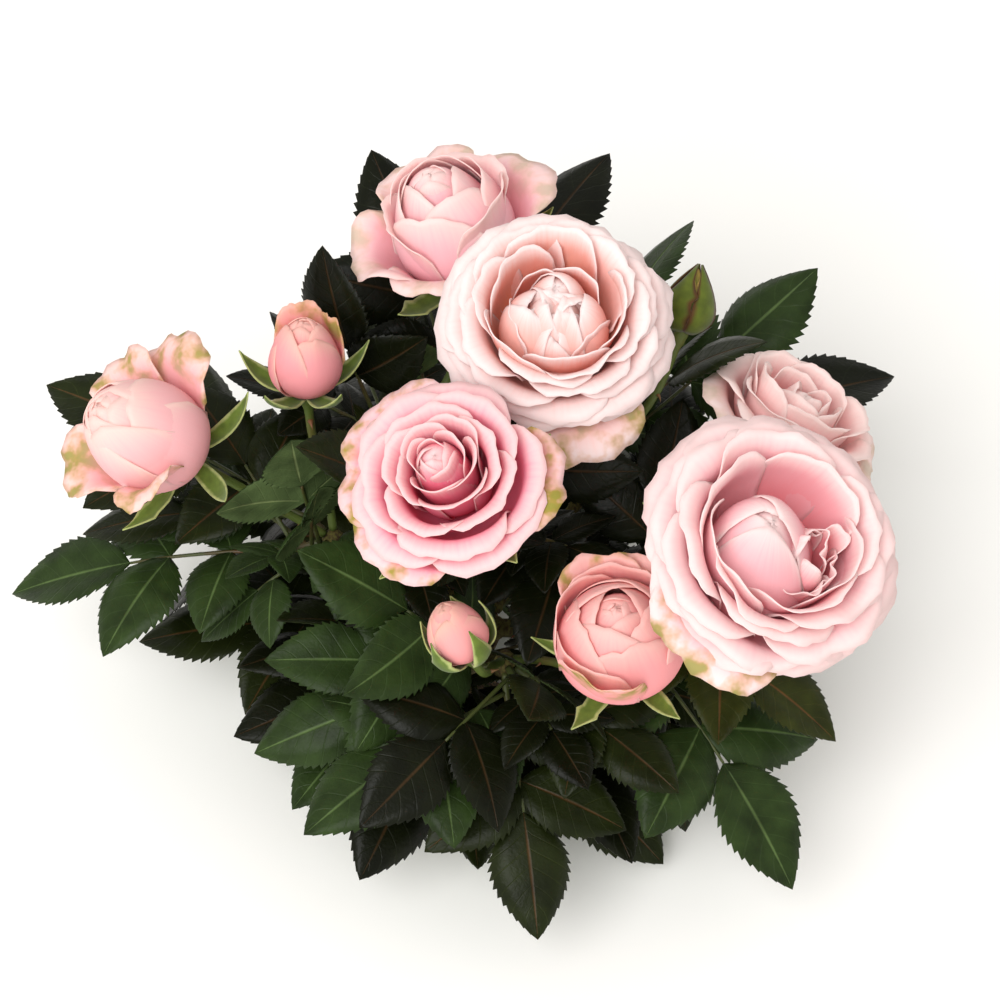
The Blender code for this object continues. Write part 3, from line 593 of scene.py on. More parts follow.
def leading_leaves(name, stem):
    """Candidates for the leaf at a shoot's end, which reaches the shoot's own tip."""
    rng = np.random.default_rng(SHOOTS[name][5])
    tip = shoot_tip(name)
    start = stem[-1] - unit(stem[-1] - stem[-2]) * SHOOT_RADIUS
    for attempt in range(LEAF_TRIES):
        wobble = 0.02 + 0.022 * attempt
        sky = sky_at((start + tip) / 2, rng.normal(0, wobble, 3))
        bow = 0.13 + rng.uniform(-0.5, 0.5) * wobble
        yield compound_leaf(start, tip, sky, bow, LEAFLET_LENGTH * rng.uniform(0.97, 1.05), 2)


def side_leaves(name, stem, number):
    """Candidates for a leaf on a shoot's side, set round the stem by the leaf divergence."""
    rng = np.random.default_rng(1000 * (number + 1) + SHOOTS[name][5])
    start = point_along(stem, (number + 0.6) / SHOOTS[name][4])
    for attempt in range(LEAF_TRIES):
        wobble = 0.12 + 0.07 * attempt
        turn = LEAF_DIVERGENCE * (number + 0.5 + rng.uniform(-1, 1) * wobble)
        heading = slanted(stem, turn, math.radians(58) + rng.uniform(-0.4, 0.4) * wobble)
        outward = unit(start - HEART * np.array([1, 1, 0.9]))
        heading = unit(heading + outward * 0.25 + rng.normal(0, 0.12, 3))
        length = LEAF_LENGTH * rng.uniform(0.72, 0.95)
        tip = start + heading * length
        tip[2] -= length * 0.1
        sky = sky_at(start * 0.4 + tip * 0.6, rng.normal(0, 0.14, 3))
        size = LEAFLET_LENGTH * rng.uniform(0.82, 1.0)
        pairs = 1 if rng.random() < 0.4 else 2
        yield compound_leaf(start, tip, sky, rng.uniform(0.08, 0.18), size, pairs)


def fine_leaves(name, stem, number):
    """Candidates for a small leaf inside the bush, set on the stem between the large ones."""
    rng = np.random.default_rng(7000 + 100 * number + sum(map(ord, name)))
    for _ in range(FINE_TRIES):
        start = point_along(stem, rng.uniform(0.1, 0.97))
        turn = LEAF_DIVERGENCE * number + rng.uniform(-1.2, 1.2)
        heading = unit(slanted(stem, turn, math.radians(rng.uniform(45, 95))) + rng.normal(0, 0.2, 3))
        tip = start + heading * (LEAF_LENGTH * rng.uniform(0.42, 0.72))
        sky = sky_at(start * 0.4 + tip * 0.6, rng.normal(0, 0.2, 3))
        size = LEAFLET_LENGTH * rng.uniform(0.6, 0.86)
        yield compound_leaf(start, tip, sky, rng.uniform(0.06, 0.2), size, rng.integers(1, 3))


def fit_leaf(space, owner, leaf):
    """The leaf with those of its leaflets that have room, or None if its stalk or tip has none."""
    if not space.free(stalk_space(leaf), but=(owner + " stem",)):
        return None
    kept = []
    for leaflet in leaf["leaflets"]:
        tree = space.body(leaflet_space(leaflet, 0.0))[2]
        beside = [one for one in kept if one[0] != leaflet[0]]
        if any(tree.overlap(space.body(leaflet_space(one, 0.0))[2]) for one in beside):
            continue
        if space.free(leaflet_space(leaflet)):
            kept.append(leaflet)
    fitted = {**leaf, "leaflets": kept}
    whole = kept and kept[0][1] == 0 and space.free(leaf_mesh(fitted), but=(owner + " stem",))
    return fitted if whole else None


def best_leaf(space, owner, candidates):
    """The first of the candidates with room for all its leaflets, or else the fullest one."""
    best = None
    for leaf in candidates:
        fitted = fit_leaf(space, owner, leaf)
        if fitted and (best is None or len(fitted["leaflets"]) > len(best["leaflets"])):
            best = fitted
        if fitted and len(fitted["leaflets"]) == len(leaf["leaflets"]):
            break
    if best:
        for taken in (leaf_mesh(best), stalk_space(best, 1), *map(leaflet_space, best["leaflets"])):
            space.add(taken, owner)
    return best


def grow_shoots(feet, space):
    """All leafy shoots, as {name: (stem, leaves)}: leading leaves first, then the side leaves."""
    space.add(main_stem_mesh(), "crown")
    for cane in CANES:
        space.add(cane_mesh(cane, feet), cane)
    for name in FLOWERS:
        stalk = stalk_path(name, feet)
        space.add(tube(stalk, np.full(len(stalk), STALK_RADIUS + CLEARANCE), 5), "flower")
        space.add(flower_hull(name), "flower")
    grown = {}
    for name in SHOOTS:
        stem = shoot_stem(name, feet, space)
        space.add(shoot_mesh(stem), name + " stem")
        grown[name] = (stem, [])
    for name, (stem, leaves) in grown.items():
        leaves.append(best_leaf(space, name, leading_leaves(name, stem)))
    for number in range(MOST_SIDE_LEAVES):
        for name, (stem, leaves) in grown.items():
            if number < SHOOTS[name][4]:
                leaves.append(best_leaf(space, name, side_leaves(name, stem, number)))
    return {name: (stem, [leaf for leaf in leaves if leaf]) for name, (stem, leaves) in grown.items()}


def grow_fine_leaves(space, grown, feet, rounds):
    """Small leaves on every shoot, then on every cane, as far as there is room for them."""
    limbs = {name: stem for name, (stem, _) in grown.items()}
    limbs.update({"cane_" + cane: cane_path(cane, feet) for cane in CANES})
    for number in range(rounds):
        for name, stem in limbs.items():
            leaf = best_leaf(space, name, fine_leaves(name, stem, number))
            if leaf:
                grown.setdefault(name, (stem, []))[1].append(leaf)


# Petals ------------------------------------------------------------------------------------------

# Whorls of each kind of flower, or of one flower by its name, a row each from the outermost in:
# petals; then for the first and the last of them the rim's radius and its height, as shares of the
# flower's own, the lean off the axis at the rim and the half angle that the petal spans round the
# axis, both in degrees; how far the belly bulges, how far the rim rolls outwards and how much it
# waves, as shares of the radius; the petal colour (0 guard, 1 outer, 2 inner, 3 heart); and, where
# a whorl stands off the axis, how far sideways and to the other side at its base and at its top.
WHORLS = {
    "upper": """
1 1.26 1.26  .16  .16  128  128   34   34  .92 .06 .060   0
5 1.02 1.00  .40  .46  110  102   50   48  .92 .08 .055   1
6 1.00  .97  .50  .58  102   94   46   46  .90 .07 .040   1
6  .96  .91  .62  .72   92   84   46   44  .86 .06 .036   1
6  .89  .82  .76  .86   80   66   44   44  .80 .05 .032   1
5  .79  .70  .90  .97   58   34   46   46  .74 .04 .026 1.8
5  .66  .56  .99  .96   20    4   50   50  .68 .03 .020   3    0    0  .02  .03
4  .42  .36  .80  .76   -6  -26   48   44  .52 .03 .030   3    0    0  .02 -.02
4  .06  .02  .86  .82  -80  -88   86   92  .56 .01 .010   2 -.12 -.22  -.2  .06
4  .06  .02  .82  .86  -80  -88   86   92  .54 .01 .010   2  .14 -.26   .2  .02
4  .06  .02  .84  .80  -78  -88   86   92  .50 .01 .014   2  .02 -.04  .02  .26
4  .05  .02  .72  .78  -80  -88   88   94  .48 .01 .014   2  .02  -.4    0 -.16
4  .05  .02  .84  .88  -80  -88   88   94  .46 .01 .014   2    0 -.26    0  .04
2  .00  .00  .78  .76  -88  -88  180  180  .78 .00 .010   3
2  .00  .00  .80  .79  -88  -88  180  180  .47 .00 .010   2  .02 -.04  .02  .26""",
    "right": """
2 1.12 1.06  .30  .34  118  112   38   36  .94 .06 .060   0
5 1.02 1.00  .38  .46  112  102   52   50  .92 .08 .070   1
5 1.00  .97  .50  .58  102   94   50   48  .90 .07 .054   1
5  .96  .90  .62  .72   92   82   50   48  .86 .06 .046   1
5  .88  .80  .76  .86   78   62   50   48  .80 .06 .040   1
5  .77  .68  .90  .97   54   32   52   50  .74 .05 .034 1.3
4  .62  .56  .99  .96   18    0   58   56  .68 .03 .024   2
3  .08  .05  .92  .96  -80  -86   70   74  .76 .01 .008 1.6 -.06 -.32 -.16  .08
4  .02  .01  .90  .94  -86  -90   78   84  .70 .01 .006 1.6 -.08  -.3 -.16  .09
2  .00  .00  .92  .91  -88  -88  180  180  .66 .00 .004   2 -.08  -.3 -.16  .09
4  .24  .16  .74  .80  -10  -40   60   66  .34 .05 .060   3  .12  -.2   .3  -.1
4  .10  .04  .76  .84  -50  -70   70   80  .30 .03 .050   3  .14 -.16  .26 -.06
2  .00  .00  .74  .72  -88  -88  180  180  .76 .00 .010   2""",
    "far_right": """
4 1.04 1.00  .42  .50  110  100   58   54  .92 .08 .060   0
4  .97  .90  .58  .70   94   84   58   54  .88 .08 .040   1
4  .86  .74  .80  .92   70   48   58   56  .80 .06 .034   1
4  .62  .50  .98  .99   24    4   60   60  .64 .04 .028   2
6  .38  .06  .96  .92  -10  -50   66   90  .46 .03 .030 2.4
2  .00  .00  .86  .84  -88  -88  180  180  .60 .00 .010   2""",
    "spiral": """
4 1.12 1.04  .44  .46  108  104   40   44  .94 .06 .055   0
4  .98  .92  .52  .64  100   88   56   54  .90 .08 .034   1
4  .86  .74  .74  .84   76   60   60   60  .80 .08 .026   1
4  .68  .56  .88  .94   52   40   64   64  .68 .07 .020 1.4
4  .50  .40  .97  .99   34   24   66   68  .52 .05 .016 1.8    0    0    0  .03
4  .34  .26 1.00 1.01   18    6   72   78  .38 .04 .012 2.2    0    0 -.02  .06
7  .20  .03 1.01 1.01    2  -64   80  104  .30 .02 .010   3    0    0 -.04  .09
2  .00  .00  .99  .98  -88  -88  180  180  .30 .00 .004   3    0    0 -.04  .09""",
    "half": """
4 1.16 1.04  .60  .78  104   64   50   46  .84 .12 .075   0
3  .70  .62  .88  .95   30   10   64   62  .82 .09 .036   1
3  .48  .42 1.00 1.04  -20  -30   72   72  .94 .05 .022   1    0    0 -.04  .04
3  .35  .29 1.07 1.10  -34  -42   76   76  .90 .04 .016   1    0    0 -.06  .06
3  .23  .18 1.12 1.14  -44  -48   82   84  .82 .03 .012   2    0    0 -.08  .08
5  .12  .03 1.15 1.15  -38  -64   90  108  .56 .02 .008   3    0    0 -.09  .09
2  .00  .00 1.13 1.12  -88  -88  180  180  .54 .00 .004   2    0    0 -.09  .09""",
    "goblet": """
3 1.18 1.10  .86  .98   36   16   48   46 1.02 .10 .060   0
4  .90  .80  .92 1.00   -2  -16   62   60 1.22 .04 .022   1
3  .56  .48 1.00 1.04  -46  -52   74   74 1.38 .02 .014   1
3  .39  .32 1.06 1.09  -56  -60   78   78 1.36 .02 .012   1
3  .24  .18 1.10 1.12  -60  -62   84   88 1.22 .02 .010   2
5  .12  .02 1.13 1.13  -50  -70   90  110  .76 .01 .008   3
2  .00  .00 1.11 1.10  -88  -88  180  180  .90 .00 .004   2""",
    "reflexed": """
4 1.84 1.56  .60  .78  100   66   34   34 1.00 .14 .110   0
3  .58  .50  .97 1.01  -36  -44   72   72 1.40 .04 .030   1
3  .43  .37 1.05 1.08  -50  -54   76   76 1.40 .03 .018   1
3  .31  .25 1.10 1.13  -56  -60   80   80 1.38 .02 .014   1
3  .20  .15 1.14 1.16  -60  -62   84   88 1.26 .02 .012   2
5  .11  .02 1.17 1.17  -50  -70   90  110  .80 .01 .008   3
2  .00  .00 1.15 1.14  -88  -88  180  180  .90 .00 .004   2""",
    "left_bud": """
2  .94  .84 1.10 1.02    6   -4   44   40 1.30 .08 .080   0
3  .54  .46  .90  .98  -36  -46   74   74 1.38 .04 .030   1
3  .36  .29 1.01 1.05  -54  -58   80   82 1.32 .03 .020   1
6  .22  .03 1.06 1.09  -56  -72   84  110 1.08 .02 .012   3
2  .00  .00 1.06 1.05  -88  -88  180  180  .96 .00 .004   2""",
    "bud": """
3  .40  .32  .94 1.00  -50  -56   78   78 1.40 .02 .020   1
3  .24  .18 1.03 1.06  -60  -62   84   84 1.34 .02 .014   1
5  .12  .02 1.08 1.09  -58  -72   88  110 1.10 .01 .010   2
2  .00  .00 1.06 1.05  -88  -88  180  180 1.00 .00 .004   2""",
    "green": """
4  .30  .05  .78  .88  -40  -30   80  100 1.20 .00 .005   3""",
}

# The directions in degrees in which some flowers' guard petals lie, from the first one on
GUARD_TURNS = {
    "upper": (-76,),
    "centre": (130, -4, 226, 168),
    "right": (236, 28),
    "left": (66, 112, 192, 282),
    "front": (62, 104, 250),
    "back": (42, 198, 262, 110),
    "left_bud": (100, 40),
}

PETAL_ROWS = 17
PETAL_COLUMNS = 23
PETAL_SHEET = 0.3 * MM
WHOLE_TURN = 170


def whorl_columns(name):
    """The columns of a flower's whorls, petal by petal, each as (petals, 1, 1)."""
    petals = []
    for row in WHORLS[name if name in WHORLS else FLOWERS[name][4]].split("\n")[1:]:
        count, *values = map(float, row.split())
        share = (np.arange(count) / max(count - 1, 1))[:, None]
        first, last = np.reshape(values[:8], (4, 2)).T
        same = (values[8:] + [0.0] * 4)[:8]
        petals.append(np.hstack([first * (1 - share) + last * share, np.tile(same, (int(count), 1))]))
    return np.concatenate(petals).T[..., None, None]


def petal_grids(name, seed):
    """A flower's petals, and their colours, set round it by the golden angle, all at once.

    A petal is a surface of u, from -1 to 1 across, and v, from its base to its rim. v is drawn in
    towards the sides by 1 - corner |u|^2.3 - 0.3 |u|^9, which rounds the corners, dips a little in
    the middle of the rim and is nicked by two sine waves, but not on a petal that closes a heart
    right round the axis. The midline is a cubic Bezier curve in the plane of the axis: it leaves
    the base through the belly and meets the rim at its lean. Across it the petal is an arc round
    the axis over its own half angle, with one side further out and the other further in, so that
    neighbours tuck into each other. The rim rolls outwards by roll e^2, with e the share past the
    petal's shoulder, and waves across, with a finer frill at its very edge.
    """
    radius, tall = FLOWERS[name][3] * MM, flower_height(name)
    reach, level, lean, half_angle, belly, roll, wave, colour, *shift = whorl_columns(name)
    n = len(reach)
    rng = np.random.default_rng(seed)

    def lots(low, high):
        """One random number for each petal."""
        return rng.uniform(low, high, (n, 1, 1))

    jitter = rng.uniform(-1, 1, (8, n, 1, 1))
    small = np.clip(reach / 0.5, 0.3, 1)
    nicked = small**2
    whole = half_angle > WHOLE_TURN
    turn = np.arange(n)[:, None, None] * GOLDEN_ANGLE + 0.12 * jitter[0] + seed
    guards = np.radians(GUARD_TURNS.get(name, ()))
    turn[: len(guards), 0, 0] = guards
    phase = lots(0, 2)
    corner = 0.12 + 0.22 * np.sin(2 * np.radians(np.clip(-lean, 0, 90))) + 0.03 * lots(-1, 1)
    hollow = radius * 0.02 * lots(-0.3, 1) * small
    chance = lots(-1, 1)
    base = [radius * place for place in shift[:2]]
    top = [radius * (place + 0.02 * lots(-1, 1)) for place in shift[2:]]
    reach = radius * reach * (1 + 0.02 * jitter[1])
    level = tall * (level + 0.014 * jitter[2])
    lean = np.radians(lean + 5 * jitter[3])
    half_angle = np.radians(half_angle * (1 + 0.07 * jitter[4]))
    roll = radius * roll * (1 + 0.4 * jitter[5])
    wave = radius * wave * (1 + 0.5 * jitter[6])
    waves = 0.8 + 0.6 * np.abs(jitter[7])

    u = np.linspace(-1, 1, PETAL_COLUMNS)[None, None, :]
    v = np.linspace(0, 1, PETAL_ROWS)[None, :, None]
    nicks = np.sin(math.pi * (5.3 * u + 3 * phase)) * np.sin(math.pi * (1.9 * u + 5 * phase + chance))
    dip = 0.03 * np.exp(-(((u - 0.2 * chance) / 0.14) ** 2))
    rounding = corner * np.abs(u) ** 2.3 + 0.3 * np.abs(u) ** 9
    drawn = v * (1 - (rounding + (dip + 0.014 * nicks) * nicked * v**3) * ~whole)
    pull = np.hypot(reach, level) * 0.34
    shoulder_point = (reach - pull * np.sin(lean), level - pull * np.cos(lean))
    corners = ((0.05 * reach, 0 * level), (radius * belly, level * 0.14), shoulder_point, (reach, level))
    shares = ((1 - drawn) ** 3, 3 * drawn * (1 - drawn) ** 2, 3 * drawn**2 * (1 - drawn), drawn**3)
    out, up = (sum(point[k] * share for point, share in zip(corners, shares)) for k in (0, 1))
    tuck = radius * 0.035 * small * u * np.minimum(v / 0.4, 1)
    past = np.clip((np.maximum(drawn, 0.9 * np.abs(u) ** 1.5 * v) - 0.74) / 0.26, 0, 1)
    rolled = roll * past**2
    ripple = v**2.4 * np.sin(math.pi * (waves * u + phase))
    ripple = wave * (ripple + 0.35 * v**7 * np.sin(math.pi * (3.4 * u + 2.6 * phase)))
    hollow = hollow * np.sin(math.pi * np.clip(v, 0, 1)) * (1 - u**2)
    out = out + tuck + rolled * 0.8 + ripple * np.cos(lean * v) + hollow
    up = up - rolled * 0.9 * np.sin(np.clip(lean, 0.1, 1.6)) - ripple * np.sin(lean * v)
    turn = turn + u * half_angle
    height = np.clip(up / tall, 0, 1)
    x, y = (
        out * way(turn) + low * (1 - height) + high * height
        for way, low, high in zip((np.cos, np.sin), base, top)
    )
    return np.stack([x, y, np.broadcast_to(up, x.shape)], axis=-1), colour


# Pieces ------------------------------------------------------------------------------------------


class Patchwork:
    """What a piece is put together from: patches of points with their faces, UV places and facts."""

    def __init__(self):
        self.points, self.faces, self.places, self.facts = [], [], [], {}
        self.count = 0

    def patches(self, points, faces, places, **facts):
        """Adds patches (patches, points, 3) that all have the same faces. A fact is one number a point."""
        n, size = points.shape[:2]
        starts = (self.count + np.arange(n) * size)[:, None, None]
        for kind in faces:
            self.faces.extend((kind[None] + starts).reshape(-1, kind.shape[1]).tolist())
        self.points.append(points.reshape(-1, 3))
        self.places.append(np.broadcast_to(places, (n, size, 2)).reshape(-1, 2))
        for name, value in facts.items():
            self.facts.setdefault(name, []).append(value.ravel())
        self.count += n * size
        return self

    def grids(self, grids, around=False, **facts):
        """Adds grids (grids, rows, columns, 3), whose UV places run evenly across and along them."""
        n, rows, columns = grids.shape[:3]
        u, v = np.meshgrid(np.linspace(0, 1, columns), np.linspace(0, 1, rows))
        places = np.stack([u, v], -1).reshape(-1, 2)
        facts = {name: np.broadcast_to(value, (n, rows, columns)) for name, value in facts.items()}
        return self.patches(grids.reshape(n, -1, 3), [grid_faces(rows, columns, around)], places, **facts)

    def piece(self, name, slot, nodes, materials, sheet=0.0):
        """The finished piece, on the bush's one body and in place of those nodes.

        It is smooth, and has its UV map and its facts as attributes. A sheet gets its thickness
        half on each side, and its back takes the second material, if there is one.
        """
        mesh = bpy.data.meshes.new(name)
        mesh.from_pydata(np.concatenate(self.points), [], self.faces)
        mesh.polygons.foreach_set("use_smooth", np.ones(len(self.faces), bool))
        corners = np.zeros(len(mesh.loops), np.int32)
        mesh.loops.foreach_get("vertex_index", corners)
        places = np.concatenate(self.places)[corners]
        mesh.uv_layers.new(name="surface").uv.foreach_set("vector", places.astype(np.float32).ravel())
        for fact, values in self.facts.items():
            made = mesh.attributes.new(fact, "FLOAT", "POINT")
            made.data.foreach_set("value", np.concatenate(values).astype(np.float32))
        for material in materials:
            mesh.materials.append(material)
        close_ends(mesh)
        piece = bpy.data.objects.new(name, mesh)
        bpy.context.scene.collection.objects.link(piece)
        if sheet:
            thickness = piece.modifiers.new("thickness", "SOLIDIFY")
            thickness.thickness = sheet
            thickness.offset = 0
            thickness.material_offset = len(materials) - 1
            bpy.context.view_layer.objects.active = piece
            bpy.ops.object.modifier_apply(modifier=thickness.name)
        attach(piece, "root")
        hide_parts(*nodes)


def close_ends(mesh):
    """Merges the points that a limb's ends were drawn together into."""
    work = bmesh.new()
    work.from_mesh(mesh)
    bmesh.ops.remove_doubles(work, verts=work.verts, dist=1e-7)
    work.to_mesh(mesh)
    work.free()
    mesh.validate()


# Leaflets ----------------------------------------------------------------------------------------

LEAFLET_TEETH = 15
LEAFLET_SHEET = 0.28 * MM
LEAFLET_SAG = (-0.1, 0.35)
LEAF_KIND_SEED = 5

# Across the blade, from -1 at its left margin to 1 at its right one; the teeth stand outside these
BLADE_COLUMNS = np.array([-0.94, -0.48, 0.0, 0.48, 0.94])


def blade_surface(midribs, normals, sag, u, v):
    """Points of many leaflets at once, at places u, from -1 to 1 across, and v, from base to tip.

    The midline is the Bezier curve of the leaflet's midrib. Half its width is the oval outline at
    v. Across it the blade rises on both sides of the midrib in a shallow V and droops again at its
    margin, and between the side veins it swells by a wave along v and |u|.
    """
    base, bend, tip = (midribs[:, k][:, None, None] for k in range(3))
    length = np.linalg.norm(tip - base, axis=-1)
    t = v[..., None]
    rib = base * (1 - t) ** 2 + bend * 2 * t * (1 - t) + tip * t**2
    heading = unit(tip - base)
    up = across(np.broadcast_to(normals[:, None, None], heading.shape), heading)
    side = np.cross(heading, up)
    half = length * LEAFLET_SLENDERNESS / 2 * 1.06 * outline(v)
    aside = u * half
    fold = np.abs(aside) * CREASE * 1.5 - np.abs(u) ** 2.5 * half * (CREASE * 0.9 + sag[:, None, None])
    swell = 0.006 * length * np.sin(2 * math.pi * (6.5 * v - 1.3 * np.abs(u))) * np.abs(u) * (1 - v)
    points = rib + side * aside[..., None] + up * (fold + swell)[..., None]
    return points.reshape(len(midribs), -1, 3)


def leaflet_patches(leaflets, sag, tooth):
    """Toothed leaflets as (points, faces, UV places): a grid, and a triangle for each tooth.

    A tooth stands on the margin between two rows of the grid. Its tip juts out by tooth, a share
    of half the blade's width, and lies forward over the next row.
    """
    midribs = np.array([midrib for _, _, midrib, _ in leaflets])
    normals = np.array([normal for _, _, _, normal in leaflets])
    rows = 1 - (1 - np.linspace(0, 1, LEAFLET_TEETH + 1)) ** 1.12
    u, v = np.meshgrid(BLADE_COLUMNS, rows)
    tips = np.meshgrid(np.array([-1, 1]) * (1 + tooth), np.minimum(rows[:-1] + np.diff(rows) * 1.08, 1))
    points = [blade_surface(midribs, normals, sag, a[None], b[None]) for a, b in ((u, v), tips)]
    columns = len(BLADE_COLUMNS)
    i = np.arange(LEAFLET_TEETH)
    tip, low, high = u.size + 2 * i, i * columns, (i + 1) * columns
    left = np.column_stack([tip, low, high])
    right = np.column_stack([low + columns - 1, tip + 1, high + columns - 1])
    places = np.column_stack([np.append(u, tips[0]) / 2 + 0.5, np.append(v, tips[1])])
    faces = [grid_faces(LEAFLET_TEETH + 1, columns), np.concatenate([left, right])]
    return np.concatenate(points, axis=1), faces, places


# Stems, bark and prickles ------------------------------------------------------------------------

STEM_ROWS = 64
NECK_ROWS = 40
NECK_TOP = 0.6
STEM_SIDES = 72
CANE_RINGS = 60
CANE_SIDES = 16
KNUCKLE_RINGS = 12


def bark_relief(levels, radii, turn):
    """Long fissures and low knobs in the old bark.

    Fissures are the sharp crests of waves round the stem that wander with height, and knobs a
    product of waves along it and round it. Both fade where the stem is thin.
    """
    wander = 0.5 * np.sin(levels * 260) + 0.3 * np.sin(levels * 610 + 2)
    crest = 1 - np.abs(np.sin(5.5 * turn + wander)) ** 0.5
    crest += 0.6 * (1 - np.abs(np.sin(9.5 * turn - 1.7 * wander + 1)) ** 0.5)
    knobs = np.sin(levels * 900 + 3 * np.sin(4 * turn)) * np.sin(3 * turn + levels * 300)
    return (0.35 * knobs - 0.55 * crest) * MM * np.minimum(1, radii / (4 * MM))


def stem_skin():
    """The main stem's skin: the solid's own, in finer steps and with the relief of its bark."""
    heights = np.linspace(0, NECK_TOP, NECK_ROWS)
    dome = np.linspace(math.radians(-38), math.radians(88), STEM_ROWS - NECK_ROWS)
    centre, skin = stem_rings(heights, dome, STEM_SIDES, bark_relief)
    return closed(skin[None], centre[None])


def cane_skins(feet):
    """The canes' skins: the solids' taper, with a swollen ring at each old leaf scar and a knuckle."""
    paths, radii = [], []
    share = np.linspace(0, 1, CANE_RINGS - KNUCKLE_RINGS)
    bulge = np.radians(np.linspace(-50, 88, KNUCKLE_RINGS + 1))[1:]
    limb = CANE_FOOT_RADIUS + (CANE_TIP_RADIUS - CANE_FOOT_RADIUS) * share
    limb = limb * (1 + 0.22 * np.exp(-(((share * 5 + 0.4) % 1 - 0.5) / 0.06) ** 2))
    limb = limb * (1 + 0.35 * np.exp(-share / 0.03))
    limb = np.append(limb, np.maximum(KNUCKLE_RADIUS * np.cos(bulge), 0.02 * MM))
    for cane in CANES:
        path = smooth_path(cane_path(cane, feet), len(share))
        tip = unit(path[-1] - path[-2])
        paths.append(np.vstack([path, path[-1] + np.outer(np.sin(bulge), tip) * KNUCKLE_RADIUS]))
        radii.append(limb)
    turn = turns(CANE_SIDES)
    ridge = 1 + 0.05 * np.sin(4 * turn) + 0.03 * np.sin(7 * turn + 1)
    return tube_grids(paths, np.array(radii)[..., None] * ridge, CANE_SIDES)


def prickles(paths, radius, spacing, seed):
    """Hooked prickles on limbs: narrow tapering tubes whose path starts square and bends down.

    They stand round each limb by the golden angle, at that spacing along it.
    """
    rng = np.random.default_rng(seed)
    made, sizes = [], []
    for path in paths:
        length = np.linalg.norm(np.diff(path, axis=0), axis=1).sum()
        count = int(length / spacing)
        for k in range(count):
            share = (k + rng.uniform(0.2, 0.8)) / count * 0.9 + 0.04
            foot = point_along(path, share)
            along = unit(point_along(path, min(share + 0.05, 1)) - foot)
            out = swung(across(np.array([0.2, 0.9, 0.3]), along), along, k * GOLDEN_ANGLE + seed)
            size = rng.uniform(1.5, 2.6) * MM
            point = foot + out * (radius + size) - along * size * 0.55
            corners = [foot + out * radius * 0.6, foot + out * (radius + size * 0.7), point]
            made.append(bezier(corners, np.linspace(0, 1, 5)))
            sizes.append(np.array([0.75, 0.5, 0.3, 0.14, 0.02]) * MM * size / (2 * MM))
    return tube_grids(np.array(made), np.array(sizes), 5)


# Sepals, hips and stalks -------------------------------------------------------------------------

SEPAL_ROWS = 12
SEPAL_COLUMNS = 7
SEPAL_SHEET = 0.4 * MM
STALK_RINGS = 40
STALK_SIDES = 14
HIP_RINGS = 10
STALK_PRICKLE_SPACING = 11 * MM

# kind, or flower: midrib of a sepal as (radius, height) shares, and its width over the radius
SEPALS_OF = {
    "open": (((0.10, 0.02), (0.75, 0.02), (0.98, 0.20)), 0.26),
    "spiral": (((0.10, 0.02), (0.80, 0.02), (1.04, 0.28)), 0.26),
    "half": (((0.10, 0.02), (0.80, 0.02), (1.0, 0.24)), 0.28),
    "goblet": (((0.20, 0.04), (0.90, -0.06), (1.40, 0.16)), 0.30),
    "reflexed": (((0.20, 0.04), (1.10, -0.10), (1.66, 0.18)), 0.38),
    "left_bud": (((0.30, 0.02), (1.40, 0.02), (1.86, 0.52)), 0.66),
    "front_bud": (((0.45, 0.00), (1.50, 0.10), (1.02, 0.80)), 0.80),
    "green": (((0.50, 0.00), (1.78, 0.26), (0.06, 0.94)), 1.34),
}


def sepal_grids(name):
    """A flower's five sepals as surfaces across (u) and along (v) them, in the flower's own frame.

    A sepal is a long triangle, widest a fifth of the way up, drawn out to a narrow tip. It is
    cupped across by its own half width squared, and two of the five carry side lobes.
    """
    radius, height = FLOWERS[name][3] * MM, flower_height(name)
    midrib, broad = SEPALS_OF[name if name in SEPALS_OF else FLOWERS[name][4]]
    rng = np.random.default_rng(len(name) * 17)
    v = np.linspace(0, 1, SEPAL_ROWS)[:, None]
    u = np.linspace(-1, 1, SEPAL_COLUMNS)[None, :]
    made = []
    for k in range(SEPALS):
        line = bezier([np.array(place) * (radius, height) for place in midrib], v[:, 0])
        line = line + np.array([1, 0]) * rng.normal(0, 0.05) * radius * v
        lobes = 0.42 * (k % 2) * np.maximum(0, np.sin(v * 17 + k)) * (v > 0.3) * (v < 0.85)
        width = broad * radius / 2 * (np.sin(math.pi * np.minimum(v * 0.55 + 0.26, 1)) ** 1.5 + lobes)
        width = np.maximum(width * (1 - v**5), 0.1 * MM)
        cup = 0.28 * width * u**2
        tangent = unit(np.gradient(line, axis=0))
        twist = rng.uniform(-0.3, 0.3) * v
        out = line[:, :1] - cup * tangent[:, 1:]
        aside = u * width * np.cos(twist)
        up = line[:, 1:] + cup * tangent[:, :1] + u * width * np.sin(twist)
        turn = (k + 0.3) * 2 * math.pi / SEPALS + rng.normal(0, 0.08)
        x = out * math.cos(turn) - aside * math.sin(turn)
        y = out * math.sin(turn) + aside * math.cos(turn)
        made.append(np.stack([x, y, up], -1))
    return np.array(made)


def placed_in(name, points):
    """Points of a flower's own frame, in the frame of the bush."""
    base, *frame_of_flower = flower_frame(name)
    return points @ np.array(frame_of_flower) + base


